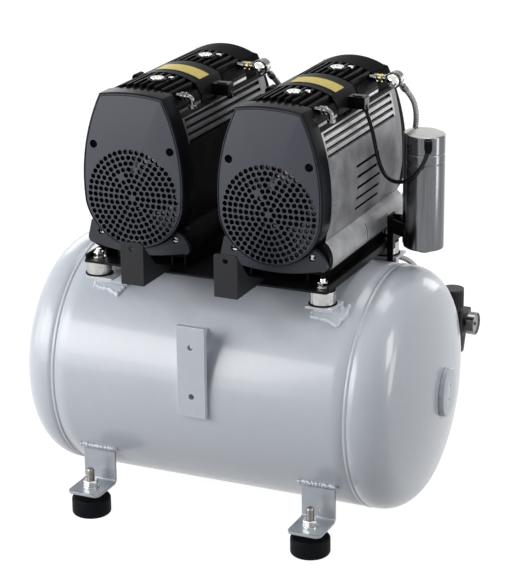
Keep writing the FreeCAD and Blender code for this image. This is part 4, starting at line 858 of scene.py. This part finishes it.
print("pumps at", {side: [round(v, 4) for v in place] for side, place in PUMPS.items()})

# %% [markdown]
# ## Front covers
# Each front cover is a moulded cap with an upright, slightly domed face. A fine groove runs round
# the face just inside its rounded edge. The cap is lofted from one outline: each ring is the
# outline moved inwards and set back from the face. The round grille is cut afterwards by a node
# tree that works out the place of every hole from its number: ring k has six times k holes.

# %% Cover outline and loft
COVER_BACK, COVER_FACE, COVER_WALL = -99.0, -130.0, 3.0
FACE_MIDDLE, FACE_DOME, DOME_RINGS = 32.0, 2.4, 5
EDGE_RINGS = [(0.0, 3.2), (0.25, 1.9), (0.8, 0.85), (1.5, 0.2), (2.2, 0.0), (2.4, 0.3), (2.5, 1.2),
              (3.7, 1.2), (3.8, 0.3), (4.2, 0.0)]
# The outline in millimetres from the shaft, against the clock from the lower right.
cover_outline = arc_line(
    (67.2, -10.0), ((67.8, 42.0), (43.0, 129.0), 30), ((0.0, 133.0), (-43.0, 129.0), 16),
    ((-67.8, 42.0), (-67.2, -10.0), 30), ((0.0, -63.5), (67.2, -10.0), 48))


def lofted_cap(side):
    """Closed shell of a cover without its holes."""
    edge = COVER_FACE + FACE_DOME
    inner, rim = inset(cover_outline, COVER_WALL), inset(cover_outline, EDGE_RINGS[-1][0])
    rows = [(inner, edge + COVER_WALL), (inner, COVER_BACK), (cover_outline, COVER_BACK)]
    rows += [(inset(cover_outline, inwards), edge + depth) for inwards, depth in EDGE_RINGS]
    for k in range(1, DOME_RINGS + 1):
        share = 1.0 - k / (DOME_RINGS + 0.5)
        shrunk = [(x * share, FACE_MIDDLE + (z - FACE_MIDDLE) * share) for x, z in rim]
        rows.append((shrunk, COVER_FACE + FACE_DOME * share ** 2))
    return outward(skin(bmesh.new(), [outline_ring(side, *row) for row in rows], capped=True))


print("cover outline", len(cover_outline), "points")

# %% Grille and screw posts
WELL_X, WELL_Z, WELL_RADIUS, GRILLE_RISE = 52.0, 65.0, 5.0, 1.8
POST_RADIUS, SCREW_RADIUS, SEAT, SEAT_SHEET = 7.0, 2.3, COVER_BACK - 5.0, 5.0
POST_FRONT = COVER_FACE + COVER_WALL - 0.4
HOLE_SIDES, WELL_SIDES, CUT_DEPTH = 14, 28, 0.5
FLANK_FROM = -0.75


def grille_tree():
    """Cuts rings of round holes and two screw wells through a cap."""
    tree = Tree("grille", Middle=(0.0, 0.0, 0.0), Rings=8, Ring_Pitch=7.3 * MM,
                Hole_Radius=2.95 * MM, Well_Radius=WELL_RADIUS * MM, Well_X=WELL_X * MM,
                Well_Z=(WELL_Z - GRILLE_RISE) * MM)
    rings = tree.get("Rings")
    total = tree.product(rings, tree.math("ADD", rings, 1.0), 3.0)
    number = tree.add("GeometryNodeInputIndex")
    inside = tree.math("ADD", tree.product(tree.math("ADD", number, 0.99), 4.0 / 3.0), 1.0)
    half = tree.product(tree.math("SUBTRACT", tree.math("SQRT", inside), 1.0), 0.5)
    ring = tree.math("CEIL", half)
    before = tree.product(ring, tree.math("SUBTRACT", ring, 1.0), 3.0)
    share = tree.math("DIVIDE", tree.math("SUBTRACT", number, before), tree.product(ring, 6.0))
    angle = tree.product(share, 2 * math.pi)
    radius = tree.product(ring, tree.get("Ring Pitch"))
    place = tree.vector(tree.product(radius, tree.math("COSINE", angle)), 0.0,
                        tree.product(radius, tree.math("SINE", angle)))
    holes = tree.add("GeometryNodeInstanceOnPoints",
                     Points=tree.add("GeometryNodePoints", Count=total, Position=place),
                     Instance=tree.bar(HOLE_SIDES, tree.get("Hole Radius"), CUT_DEPTH))
    well = tree.bar(WELL_SIDES, tree.get("Well Radius"), CUT_DEPTH)
    return tree.cut_away(holes, *tree.both_sides(well, tree.get("Well X"), 0.0,
                                                 tree.get("Well Z")))


def screw_posts(side):
    """Hollow posts behind the two wells, down to the screws' seats."""
    bm = bmesh.new()
    for x in (-WELL_X, WELL_X):
        for inner, front in ((WELL_RADIUS, POST_FRONT), (SCREW_RADIUS, SEAT + SEAT_SHEET)):
            lathe(bm, pump_point(side, x, 0.0, WELL_Z), (0, 1, 0),
                  [(inner, SEAT), (inner, front), (POST_RADIUS, front), (POST_RADIUS, SEAT)],
                  WELL_SIDES, side=(1, 0, 0), looped=True)
    return outward(bm)


grille = grille_tree()
for side in PUMPS:
    cover = baked(side + "_front_cover_shell", lofted_cap(side), grille, "cover_plastic",
                  Middle=tuple(pump_point(side, 0, 0, GRILLE_RISE)))
    # Painted shade: faces that do not look forward get the darker flank copy of the cover plastic.
    paint_faces(cover, lambda middle, normal: "cover_flank" if normal.y > FLANK_FROM else None)
    stand_in(soften(cover, 0.22 * MM, 1), "black_plastic", side + "_front_cover")
    posts = mesh_piece(side + "_cover_posts", screw_posts(side), "cover_plastic")
    stand_in(posts, "black_plastic", side + "_front_cover")
    print(cover.name, len(cover.data.polygons), "faces")

# %% [markdown]
# ## Pump bodies
# The body of a pump is one long casting. Its side stands almost upright, turns in at a soft
# valley and swells into a rounded foot. A polygon of its section is rounded by cutting its
# corners three times, and the section is set down along the shaft. Towards the rear the side dips
# a little. A node tree then cuts the grooves, the vent slots and the joint line on both sides, and
# the bores that let the cylinders in from above.

# %% Body section
FOOT_SECTION = [(46, -73), (60, -73), (69.5, -67), (71.5, -52), (66.5, -39), (61.0, -34.5)]
SIDE_SECTION = [(60.6, -33.5), (62.5, -25), (64.5, -14), (67.5, 4), (66.5, 36), (64.2, 60),
                (55.5, 101), (51, 104)]
BODY_FRONT, BODY_REAR, BODY_WALL = -99.0, 142.0, 6.0
STATIONS = [BODY_FRONT, -70, -40, -10, 20, 50, *(66 + 4.75 * i for i in range(15)), BODY_REAR]
DIP_DEPTH, DIP_FRONT, DIP_LENGTH, DIP_TOP, DIP_HEIGHT = 3.6, 62.0, 72.0, 68.0, 78.0
RIDGE_LOW, RIDGE_HIGH, RIDGE_REAR, SKIN_DEPTH, CUT_FLOOR = 69.4, 99.8, 125.0, 0.55, 5.2
INNER_X, FOOT_TOP, CREASE_Z = 50.0, -33.5, FOOT_SECTION[-1][1] + 0.5


def corner_cut(points, rounds=3):
    """Rounds an open line by cutting its corners; the ends stay."""
    for _ in range(rounds):
        cut_points = [points[0]]
        for (x0, z0), (x1, z1) in zip(points, points[1:]):
            cut_points.append((x0 * 0.75 + x1 * 0.25, z0 * 0.75 + z1 * 0.25))
            cut_points.append((x0 * 0.25 + x1 * 0.75, z0 * 0.25 + z1 * 0.75))
        points = cut_points + [points[-1]]
    return points


# Right half of the section: the rounded foot, a crease, then the side.
half_section = corner_cut(FOOT_SECTION) + corner_cut(SIDE_SECTION)


def side_reach(z):
    """How far the casting's side stands out at a height, in millimetres."""
    for (x0, z0), (x1, z1) in zip(half_section, half_section[1:]):
        if z0 <= z <= z1 and z1 > z0:
            return x0 + (x1 - x0) * (z - z0) / (z1 - z0)
    return half_section[-1][0]


def side_dip(y, z):
    """How far the side sinks near the rear, deepest at the crease, in millimetres."""
    if z < CREASE_Z:
        return 0.0
    along = max(0.0, min(1.0, (y - DIP_FRONT) / DIP_LENGTH))
    return DIP_DEPTH * math.sin(math.pi * along) ** 2 * max(0.0, min(1.0, (DIP_TOP - z) / DIP_HEIGHT))


def body_shell(side):
    """Closed shell of the casting, open at both ends."""
    section = both_halves(half_section)
    rings = [outline_ring(side, [(x - math.copysign(side_dip(y, z), x), z) for x, z in section], y)
             for y in STATIONS]
    inner = inset(section, BODY_WALL)
    rings += [outline_ring(side, inner, y) for y in (BODY_REAR, BODY_FRONT)]
    return outward(skin(bmesh.new(), rings, looped=True))


def coat_of(side, middle, normal):
    """Finish of a face of the casting, by where it lies. The grooves, vents, joint line and the left
    pump's inner side get painted shade; the ridges get a painted highlight (dimmed on the left pump),
    and the foot gets painted light.
    """
    place = (middle - PUMPS[side]) / MM
    sunk = side_reach(place.z) - side_dip(place.y, place.z) - abs(place.x)
    on_ridge = RIDGE_LOW < place.z < RIDGE_HIGH
    # Painted shade inside the grooves, vent slots and joint line.
    if SKIN_DEPTH < sunk < CUT_FLOOR and abs(place.x) > INNER_X and (
            place.y < DIP_FRONT + 1 or place.z > RIDGE_LOW - 5):
        return "groove_black"
    if place.z > RIDGE_HIGH:
        return "black_casting"
    # Painted highlight on the ridges; on the left pump it is dimmed as painted shade.
    if on_ridge and sunk <= SKIN_DEPTH and place.y < RIDGE_REAR:
        return "ridge_dull" if side == "left" else "ridge_metal"
    # Painted shade: the side of the left casting that faces the other pump is coloured near black.
    if side == "left" and place.x > 0 and normal.x > -0.1 and not on_ridge:
        return "cast_shade"
    # Painted light: the rounded foot gets a lighter copy of the casting.
    return "cast_foot" if place.z < FOOT_TOP and sunk <= SKIN_DEPTH else "cast_body"


print("body section", len(half_section), "points on each side")

# %% Grooves, vents, joint line and bores
VENT_X, JOINT_X, JOINT_Z, BORE_SIDES, BORE_DEPTH = 0.066, 0.070, -0.047, 64, 0.016
liner_low, liner_high = solid_boxes("cylinders")[0]


def slots_tree():
    """Cuts grooves, vent slots and joint line on both sides, and the cylinders' bores."""
    tree = Tree("body_slots", Middle=(0.0, 0.0, 0.0),
                Groove_Count=4, Groove_Pitch=8.6 * MM, Groove_First_Z=69.4 * MM,
                Groove_X=72.4 * MM, Groove_Slope=-0.235, Groove_Size=(26 * MM, 216 * MM, 4.0 * MM),
                Groove_Y=15 * MM, Vent_Count=5, Vent_Pitch=13.5 * MM, Vent_First_Z=-16.5 * MM,
                Vent_Size=(30 * MM, 75 * MM, 3.0 * MM), Vent_Y=24.5 * MM, Joint_Y=12.6 * MM,
                Joint_Size=(6 * MM, 1.2 * MM, 46 * MM), Bore_Radius=23 * MM, Bore_Y=60 * MM,
                Bore_Z=101 * MM)
    pitch = tree.get("Groove Pitch")
    tools = []
    for sign in (1.0, -1.0):
        start = tree.vector(tree.product(tree.get("Groove X"), sign), tree.get("Groove Y"),
                            tree.get("Groove First Z"))
        slope = tree.product(pitch, tree.get("Groove Slope"), sign)
        tools.append(tree.row_of_cubes(tree.get("Groove Size"), tree.get("Groove Count"), start,
                                       tree.vector(slope, 0.0, pitch)))
        start = tree.vector(VENT_X * sign, tree.get("Vent Y"), tree.get("Vent First Z"))
        tools.append(tree.row_of_cubes(tree.get("Vent Size"), tree.get("Vent Count"), start,
                                       tree.vector(0.0, 0.0, tree.get("Vent Pitch"))))
        joint = tree.add("GeometryNodeMeshCube", Size=tree.get("Joint Size"))
        tools.append(tree.shift(joint, JOINT_X * sign, tree.get("Joint Y"), JOINT_Z))
        bore = tree.add("GeometryNodeMeshCylinder", Vertices=BORE_SIDES,
                        Radius=tree.get("Bore Radius"), Depth=BORE_DEPTH)
        tools.append(tree.shift(bore, 0.0, tree.product(tree.get("Bore Y"), sign),
                                tree.get("Bore Z")))
    return tree.cut_away(*tools)


body_slots = slots_tree()
for side in PUMPS:
    body = baked(side + "_pump_body", body_shell(side), body_slots, "cast_body",
                 Middle=tuple(PUMPS[side]), Bore_Radius=(liner_high.x - liner_low.x) / 2 + 0.3 * MM,
                 Bore_Y=abs((liner_low.y + liner_high.y) / 2 - PUMPS[side].y))
    paint_faces(body, lambda middle, normal, pump=side: coat_of(pump, middle, normal))
    stand_in(soften(body, 0.6 * MM), "cast_aluminium", side + "_housing")
    print(body.name, len(body.data.polygons), "faces")

# %% [markdown]
# ## End flanges
# In front of each casting sits a flat flange with rounded lower corners. The round part of the
# cover passes through it, so a plate of the flange's outline is cut by a cylinder, and so is the
# thicker block behind the plate.

# %% Flanges
FLANGE_FRONT, FLANGE_BACK = -117.0, -109.0
flange_outline = arc_line(
    (-61.0, -66.0), ((0.0, -74.0), (61.0, -66.0), 32), ((68.0, -65.0), (70.0, -60.0), 6),
    ((64.5, -47.5), (51.0, -38.0), 10))
flange_outline += [(51.0, -38.0), (47.0, -36.0), (-65.0, -36.0)]
flange_outline += arc_line((-70.0, -58.0), ((-68.0, -64.0), (-61.0, -66.0), 6))
block_outline = both_halves([(x, z) for x, z in half_section if z < -34])
FLANGE_PARTS = [("plate", flange_outline, FLANGE_FRONT, FLANGE_BACK, "flange_coat"),
                ("block", block_outline, FLANGE_BACK - 1, BODY_FRONT + 0.5, "black_casting")]


def round_cut_tree():
    """Cuts a round opening along Y and two screw wells in its front through a solid."""
    tree = Tree("round_cut", Middle=(0.0, 0.0, 0.0), Radius=69.0 * MM, Rise=5.2 * MM,
                Well_Radius=4.4 * MM, Well_Depth=8.0 * MM, Well_X=51.0 * MM, Well_Y=-117.0 * MM,
                Well_Z=-49.5 * MM)
    drum = tree.shift(tree.bar(128, tree.get("Radius"), CUT_DEPTH), z=tree.get("Rise"))
    well = tree.bar(WELL_SIDES, tree.get("Well Radius"), tree.get("Well Depth"))
    return tree.cut_away(drum, *tree.both_sides(well, tree.get("Well X"), tree.get("Well Y"),
                                                tree.get("Well Z")))


round_cut = round_cut_tree()
for side in PUMPS:
    for part, outline, front, back, finish in FLANGE_PARTS:
        prism = skin(bmesh.new(), [outline_ring(side, outline, y) for y in (front, back)],
                     capped=True)
        flange = baked(side + "_flange_" + part, outward(prism), round_cut, finish,
                       Middle=tuple(PUMPS[side]))
        stand_in(soften(flange, 0.8 * MM), "black_cast", side + "_housing")
print("flange outline", len(flange_outline), "points")

# %% [markdown]
# ## Parts that keep their drawn shape
# Many pieces are right as drawn and only need soft edges and a finish: brackets, plates, heads,
# fans and fittings. One table says which node takes which finish and slot, and how wide its bevel
# is in millimetres.

# %% Softened copies
FACING = 0.8
COPIES = [
    ("inspection_plugs", "receiver_paint", "tank_paint", 0.6),
    ("front_strap", "receiver_paint", "tank_paint", 0.9),
    ("isolator_brackets", "bracket_paint", "tank_paint", 0.6),
    ("base_plate", "plate_black", "black_paint", 0.6),
    ("front_tabs", "black_powder", "black_paint", 0.7),
    ("mount_rails", "plate_black", "black_paint", 0.5),
    ("bearing_brackets", "bare_aluminium", "cast_aluminium", 0.6),
    ("bearings", "turned_steel", "steel", 0.3),
    ("cylinders", "turned_steel", "can_aluminium", 0.3),
    ("valve_plates", "turned_steel", "steel", 0.3),
    ("terminal_boxes", "gloss_black", "black_plastic", 0.5),
    ("transfer_pipes", "black_casting", "black_cast", 0.3),
    ("capacitor_bracket", "plate_black", "black_paint", 0.4),
    ("air_block", "chrome", "bright_metal", 0.7),
    ("pressure_switch", "black_plastic", "black_plastic", 0.8),
    ("switch_knob", "black_plastic", "black_plastic", 0.8),
    ("regulator_body", "black_plastic", "black_plastic", 0.6),
    ("regulator_knob", "black_plastic", "black_plastic", 0.4),
    ("gauge_needle", "black_powder", "black_paint", 0.1),
    ("relief_valve", "brass", "brass", 0.4),
    ("relief_pin", "zinc_plate", "zinc", 0.2),
    ("drain_valve", "brass", "brass", 0.4),
    ("drain_lever", "zinc_plate", "zinc", 0.5),
    ("rubber_feet", "foot_rubber", "rubber", 0.6),
    ("isolator_bolts", "zinc_plate", "zinc", 0.3),
    ("head_plugs", "chrome", "bright_metal", 0.3),
    ("cover_screws", "zinc_plate", "zinc", 0.3)]
COPIES += [(side + part, *row) for side in PUMPS for part, *row in (
    ("_rear_cover", "black_moulding", "black_plastic", 0.5),
    ("_cylinder_heads", "black_casting", "black_cast", 0.6),
    ("_shaft", "turned_steel", "steel", 0.3),
    ("_fans", "black_plastic", "black_plastic", 0.3),
    ("_front_piston", "bare_aluminium", "can_aluminium", 0.3),
    ("_rear_piston", "bare_aluminium", "can_aluminium", 0.3))]
copies = {row[0]: softened_copy(*row) for row in COPIES}
for side in PUMPS:
    paint_faces(copies[side + "_shaft"],
                lambda middle, normal: "black_powder" if abs(normal.y) > FACING else None)
print("softened copies", len(COPIES))

# %% [markdown]
# ## Legs, studs and welds
# A leg is one bent strip: an upright that is welded to the receiver, a tight bend, and a level
# foot with rounded corners. The strip is drawn station by station. The studs and nuts are turned
# solids. A weld is a row of small overlapping beads, and a node tree sets an uneven ball on each
# point of a line.

# %% Bent legs
LEG_FACE, LEG_SHEET, LEG_TOP, FOOT_LEVEL, FOOT_FRONT, LEG_HALF = 123.0, 4.0, 81.5, 36.0, 172.0, 22.5
LEG_X, STUD_Y, LEG_BEND, FOOT_CORNER, TOP_BEVEL = 152.5, 148.0, 3.0, 8.0, 3.2


def leg_stations():
    """(outer y, outer z, inner y, inner z, half width) along the strip, from the top down."""
    bend_y, bend_z = LEG_FACE + LEG_BEND, FOOT_LEVEL + LEG_BEND
    wide = LEG_BEND + LEG_SHEET
    turns = [math.pi / 2 * i / 8 for i in range(9)]
    rows = [(LEG_FACE, LEG_TOP, LEG_FACE - LEG_SHEET, LEG_TOP - TOP_BEVEL, LEG_HALF)]
    rows += [(bend_y - LEG_BEND * math.cos(a), bend_z - LEG_BEND * math.sin(a),
              bend_y - wide * math.cos(a), bend_z - wide * math.sin(a), LEG_HALF) for a in turns]
    for a in turns:
        along = FOOT_FRONT - FOOT_CORNER * (1 - math.sin(a))
        rows.append((along, FOOT_LEVEL, along, FOOT_LEVEL - LEG_SHEET,
                     LEG_HALF - FOOT_CORNER * (1 - math.cos(a))))
    return rows


def leg_mesh():
    bm = bmesh.new()
    for leg_x in (-LEG_X, LEG_X):
        for way in (-1, 1):
            skin(bm, [[Vector((leg_x + dx, FRONT_SHIFT + way * y, z)) * MM
                       for dx, y, z in ((-half, y0, z0), (half, y0, z0),
                                        (half, y1, z1), (-half, y1, z1))]
                      for y0, z0, y1, z1, half in leg_stations()], capped=True)
    return outward(bm)


legs = soften(mesh_piece("bent_legs", leg_mesh(), "leg_paint"), 0.9 * MM)
stand_in(legs, "zinc", "tank_legs")
print(legs.name, len(legs.data.polygons), "faces")

# %% Studs and nuts
UP = (0, 0, 1)
NUT_LOW, NUT_HIGH, NUT_RADIUS, THREAD_PITCH, STUD_TOP, BOLT_END = 37.6, 45.6, 9.8, 1.6, 61.0, 8.0
thread = [(0, 30.0), (4.6, 30.0)]
while thread[-1][1] < STUD_TOP - 2 * THREAD_PITCH:
    thread += [(5.3, thread[-1][1] + THREAD_PITCH / 2), (4.5, thread[-1][1] + THREAD_PITCH)]
thread += [(3.9, STUD_TOP), (0, STUD_TOP)]
nut = [(0, NUT_LOW), (NUT_RADIUS - 1, NUT_LOW), (NUT_RADIUS, NUT_LOW + 0.7),
       (NUT_RADIUS, NUT_HIGH - 1), (NUT_RADIUS - 1.2, NUT_HIGH), (0, NUT_HIGH)]
washer = [(0, FOOT_LEVEL), (10.5, FOOT_LEVEL), (10.5, NUT_LOW), (0, NUT_LOW)]
grounds = [Vector((x, FRONT_SHIFT + y, 0)) * MM for x in (-LEG_X, LEG_X) for y in (-STUD_Y, STUD_Y)]
turned_piece("threaded_studs", "thread_steel", "zinc", "foot_studs", grounds, UP, [(thread, 24)])
turned_piece("foot_nuts", "chrome", "zinc", "foot_studs", grounds, UP, [(nut, 6), (washer, 36)])
seats = [Vector(((low.x + high.x) / 2, (low.y + high.y) / 2, high.z - BOLT_END * MM))
         for low, high in solid_boxes("isolator_bolts")]
turned_piece("plate_nuts", "chrome", "zinc", "isolator_bolts", seats, UP, [
    ([(0, 0.0), (8.4, 0.0), (8.4, 1.2), (0, 1.2)], 32),
    ([(0, 1.2), (6.2, 1.2), (6.9, 1.8), (6.9, 6.6), (6.0, 7.4), (0, 7.4)], 6),
    ([(0, 7.0), (3.9, 7.0), (3.5, 8.2), (3.9, 9.4), (3.2, 11.0), (0, 11.0)], 24)])
print("studs", len(grounds), "bolts", len(seats))

# %% Weld beads
BEAD_PROUD, LEG_BEAD_STEP, BRACKET_BEAD_STEP = 0.8, 2.1, 2.4
BRACKET_EDGE = [(0, 97), (0.5, 101.5), (22, 103), (34.5, 107), (41, 96), (40.5, 84)]


def bead_tree():
    """Sets an uneven ball on every point of a line."""
    tree = Tree("weld_beads", Radius=3.0 * MM, Least=(0.8, 0.8, 0.8), Most=(1.15, 1.15, 1.15),
                Seed=5)
    ball = tree.add("GeometryNodeMeshIcoSphere", Radius=tree.get("Radius"), Subdivisions=3)
    size = tree.add("FunctionNodeRandomValue", settings={"data_type": "FLOAT_VECTOR"},
                    i0=tree.get("Least"), i1=tree.get("Most"), Seed=tree.get("Seed"))
    return tree.finish(tree.add("GeometryNodeInstanceOnPoints", Points=tree.get("Geometry"),
                                Instance=ball, Scale=size))


def line_of_points(start, end, step):
    """Points in millimetres from start to end, about a step apart."""
    start, end = Vector(start), Vector(end)
    count = max(1, round((end - start).length / step))
    return [start.lerp(end, i / count) for i in range(count + 1)]


def on_shell(x, z=None, reach=None):
    """Point of the receiver's front, by its height or by its distance in front of the axis."""
    radius = TANK_RADIUS + BEAD_PROUD
    if reach is None:
        return x, AXIS_Y - math.sqrt(radius ** 2 - (z - AXIS_Z) ** 2), z
    return x, AXIS_Y - reach, AXIS_Z + math.sqrt(radius ** 2 - reach ** 2)


def weld_piece(name, lines, finish, slot, node, **sizes):
    """Beads on every point of the lines, and of the same lines behind the receiver's axis."""
    bm = bmesh.new()
    for line in lines:
        mirrored = [Vector((p.x, 2 * AXIS_Y - p.y, p.z)) for p in line]
        for point in line + mirrored:
            bm.verts.new(point * MM)
    print(name, len(bm.verts), "beads")
    stand_in(baked(name, bm, weld_beads, finish, **sizes), slot, node)


weld_beads = bead_tree()
leg_ends = [[on_shell(leg_x + way * (LEG_HALF + 1), LEG_TOP + 1) for way in (-1, 1)]
            for leg_x in (-LEG_X, LEG_X)]
weld_piece("leg_welds", [line_of_points(*ends, LEG_BEAD_STEP) for ends in leg_ends],
           "leg_paint", "zinc", "tank_legs", Radius=4.2 * MM)
bracket_lines = []
for low, high in solid_boxes("isolator_brackets"):
    if (low.y + high.y) / 2 < AXIS_Y * MM:
        edge = [on_shell(low.x / MM + dx, reach=reach) for dx, reach in BRACKET_EDGE]
        bracket_lines += [line_of_points(*ends, BRACKET_BEAD_STEP) for ends in zip(edge, edge[1:])]
weld_piece("bracket_welds", bracket_lines, "bracket_paint", "tank_paint", "isolator_brackets",
           Radius=3.1 * MM, Seed=11)

# %% [markdown]
# ## Bright fittings
# The elbows and outlets keep their drawn bodies, but each stretch along the pipe has its own
# metal: a brass ring sits between two bright nuts. The outlet's end gets a domed cap.

# %% Fittings
BRASS_LOW, BRASS_HIGH, OUTLET = 53.5, 58.5, (75.0, 83.2, 124.0)


def is_brass(middle):
    """True on the ring of an outlet that lies between the two nuts."""
    return any(BRASS_LOW < (middle.x - pump.x) / MM < BRASS_HIGH and middle.y > pump.y
               for pump in PUMPS.values())


fittings = mesh_piece("bright_fittings", merged_copy("air_fittings"), "fitting_steel")
paint_faces(fittings, lambda middle, normal: "brass" if is_brass(middle) else None)
stand_in(soften(fittings, 0.4 * MM), "bright_metal", "air_fittings")
cap_profile = [(0, -1.0), (8.2, -1.0), (8.2, 0.6), (7.6, 1.8), (6.2, 3.4), (4.2, 4.7), (2.1, 5.5),
               (0, 5.8)]
ring_profile = [(0, -9.0), (10.4, -9.0), (10.8, -8.4), (10.8, -3.4), (10.4, -2.8), (0, -2.8)]
outlets = [pump_point(side, *OUTLET) for side in PUMPS]
for name, finish, profile, steps in (("outlet_caps", "chrome", cap_profile, 36),
                                     ("outlet_rings", "fitting_steel", ring_profile, 12)):
    turned_piece(name, finish, "bright_metal", "air_fittings", outlets, (0, -1, 0),
                 [(profile, steps)], 0.3)
print("fittings", len(fittings.data.polygons), "faces")

# %% [markdown]
# ## Cords
# Each spline from above now gets its thickness. The lead is a smooth black cable. The hoses are
# tubes with a UV map, so the wires of the braid follow each bend.

# %% Lead and hoses
lead = spline_object("capacitor_lead", lead_route, 2.5 * MM)
lead.data.materials.append(finishes["lead_rubber"])
stand_in(lead, "cable_black", "capacitor_cable")


def braided_tube(name, points, radius, sides=16):
    """Tube round a line, with U once round and V in metres along it."""
    bm = bmesh.new()
    layer = bm.loops.layers.uv.new("UVMap")
    along, across, rings, places = 0.0, Vector((1.0, 0.0, 0.0)), [], []
    for i, point in enumerate(points):
        ahead = (points[min(i + 1, len(points) - 1)] - points[max(i - 1, 0)]).normalized()
        across = (across - ahead * across.dot(ahead)).normalized()
        along += (point - points[i - 1]).length if i else 0.0
        places.append(along)
        rings.append(circle(point, across, ahead.cross(across), radius, sides))
    skin(bm, rings, capped=True)
    for number, face in enumerate(list(bm.faces)[:-2]):
        i, j = divmod(number, sides)
        for loop, (u, v) in zip(face.loops, ((j, i), (j + 1, i), (j + 1, i + 1), (j, i + 1))):
            loop[layer].uv = (u / sides, places[v])
    return mesh_piece(name, outward(bm), "braided_wire")


for name, route, node, length in (("right_air_hose", right_hose_route, "right_hose", 0.310),
                                  ("left_air_hose", left_hose_route, "left_hose", 0.412)):
    line = points_along(route)
    hose = stand_in(braided_tube(name, line, 3.5 * MM), "hose_black", node)
print("cords done")

# %% [markdown]
# ## Pieces with more than one solid
# Some nodes hold solids of different materials. A test on each solid's size sorts them: labels are
# flat and short, cans are taller than boots, isolator rubber is taller than its rings, and a
# stator's core is longer than its windings.

# %% Sorted solids
LABEL_HEIGHT, LABEL_LENGTH = 0.02, 0.035
CAN_HEIGHT, RUBBER_HEIGHT, CORE_LENGTH = 0.1, 0.0172, 0.03


def is_label(low, high):
    return high.z - low.z < LABEL_HEIGHT and high.y - low.y < LABEL_LENGTH


def is_can(low, high):
    return high.z - low.z > CAN_HEIGHT


def is_rubber(low, high):
    return high.z - low.z > RUBBER_HEIGHT


def is_core(low, high):
    return high.y - low.y > CORE_LENGTH


SORTED = [(side + "_saddle", is_label, wanted, finish, "black_cast", width, side + name)
          for side in PUMPS for wanted, finish, width, name in (
              (False, "black_casting", 0.5, "_saddle_cover"),
              (True, "label_yellow", 0.1, "_yellow_label"))]
SORTED += [
    ("capacitors", is_can, True, "can_aluminium", "can_aluminium", 0.4, "capacitor_cans"),
    ("capacitors", is_can, False, "foot_rubber", "can_aluminium", 0.4, "capacitor_boots"),
    ("isolators", is_rubber, True, "foot_rubber", "rubber", 0.3, "isolator_rubber"),
    ("isolators", is_rubber, False, "ring_zinc", "rubber", 0.3, "isolator_rings"),
    ("stators", is_core, True, "turned_steel", "steel", 0.3, "stator_cores"),
    ("stators", is_core, False, "copper_wire", "steel", 0.3, "stator_windings")]
for node, test, answer, finish, slot, width, name in SORTED:
    piece = softened_copy(node, finish, slot, width, name=name,
                          wanted=lambda low, high: test(low, high) == answer)
    if name == "capacitor_cans":
        paint_faces(piece, lambda middle, normal: "ring_zinc" if normal.z > FACING else None)
softened_copy("regulator_bowl", "black_plastic", "clear_plastic", 0.4)
gauge = softened_copy("pressure_gauge", "fitting_steel", "black_plastic", 0.3)
dial_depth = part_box("pressure_gauge")[1].x - 2.0 * MM
paint_faces(gauge, lambda middle, normal: "dial_white" if (
    normal.x > FACING and middle.x < dial_depth) else None)
print("sorted solids done")
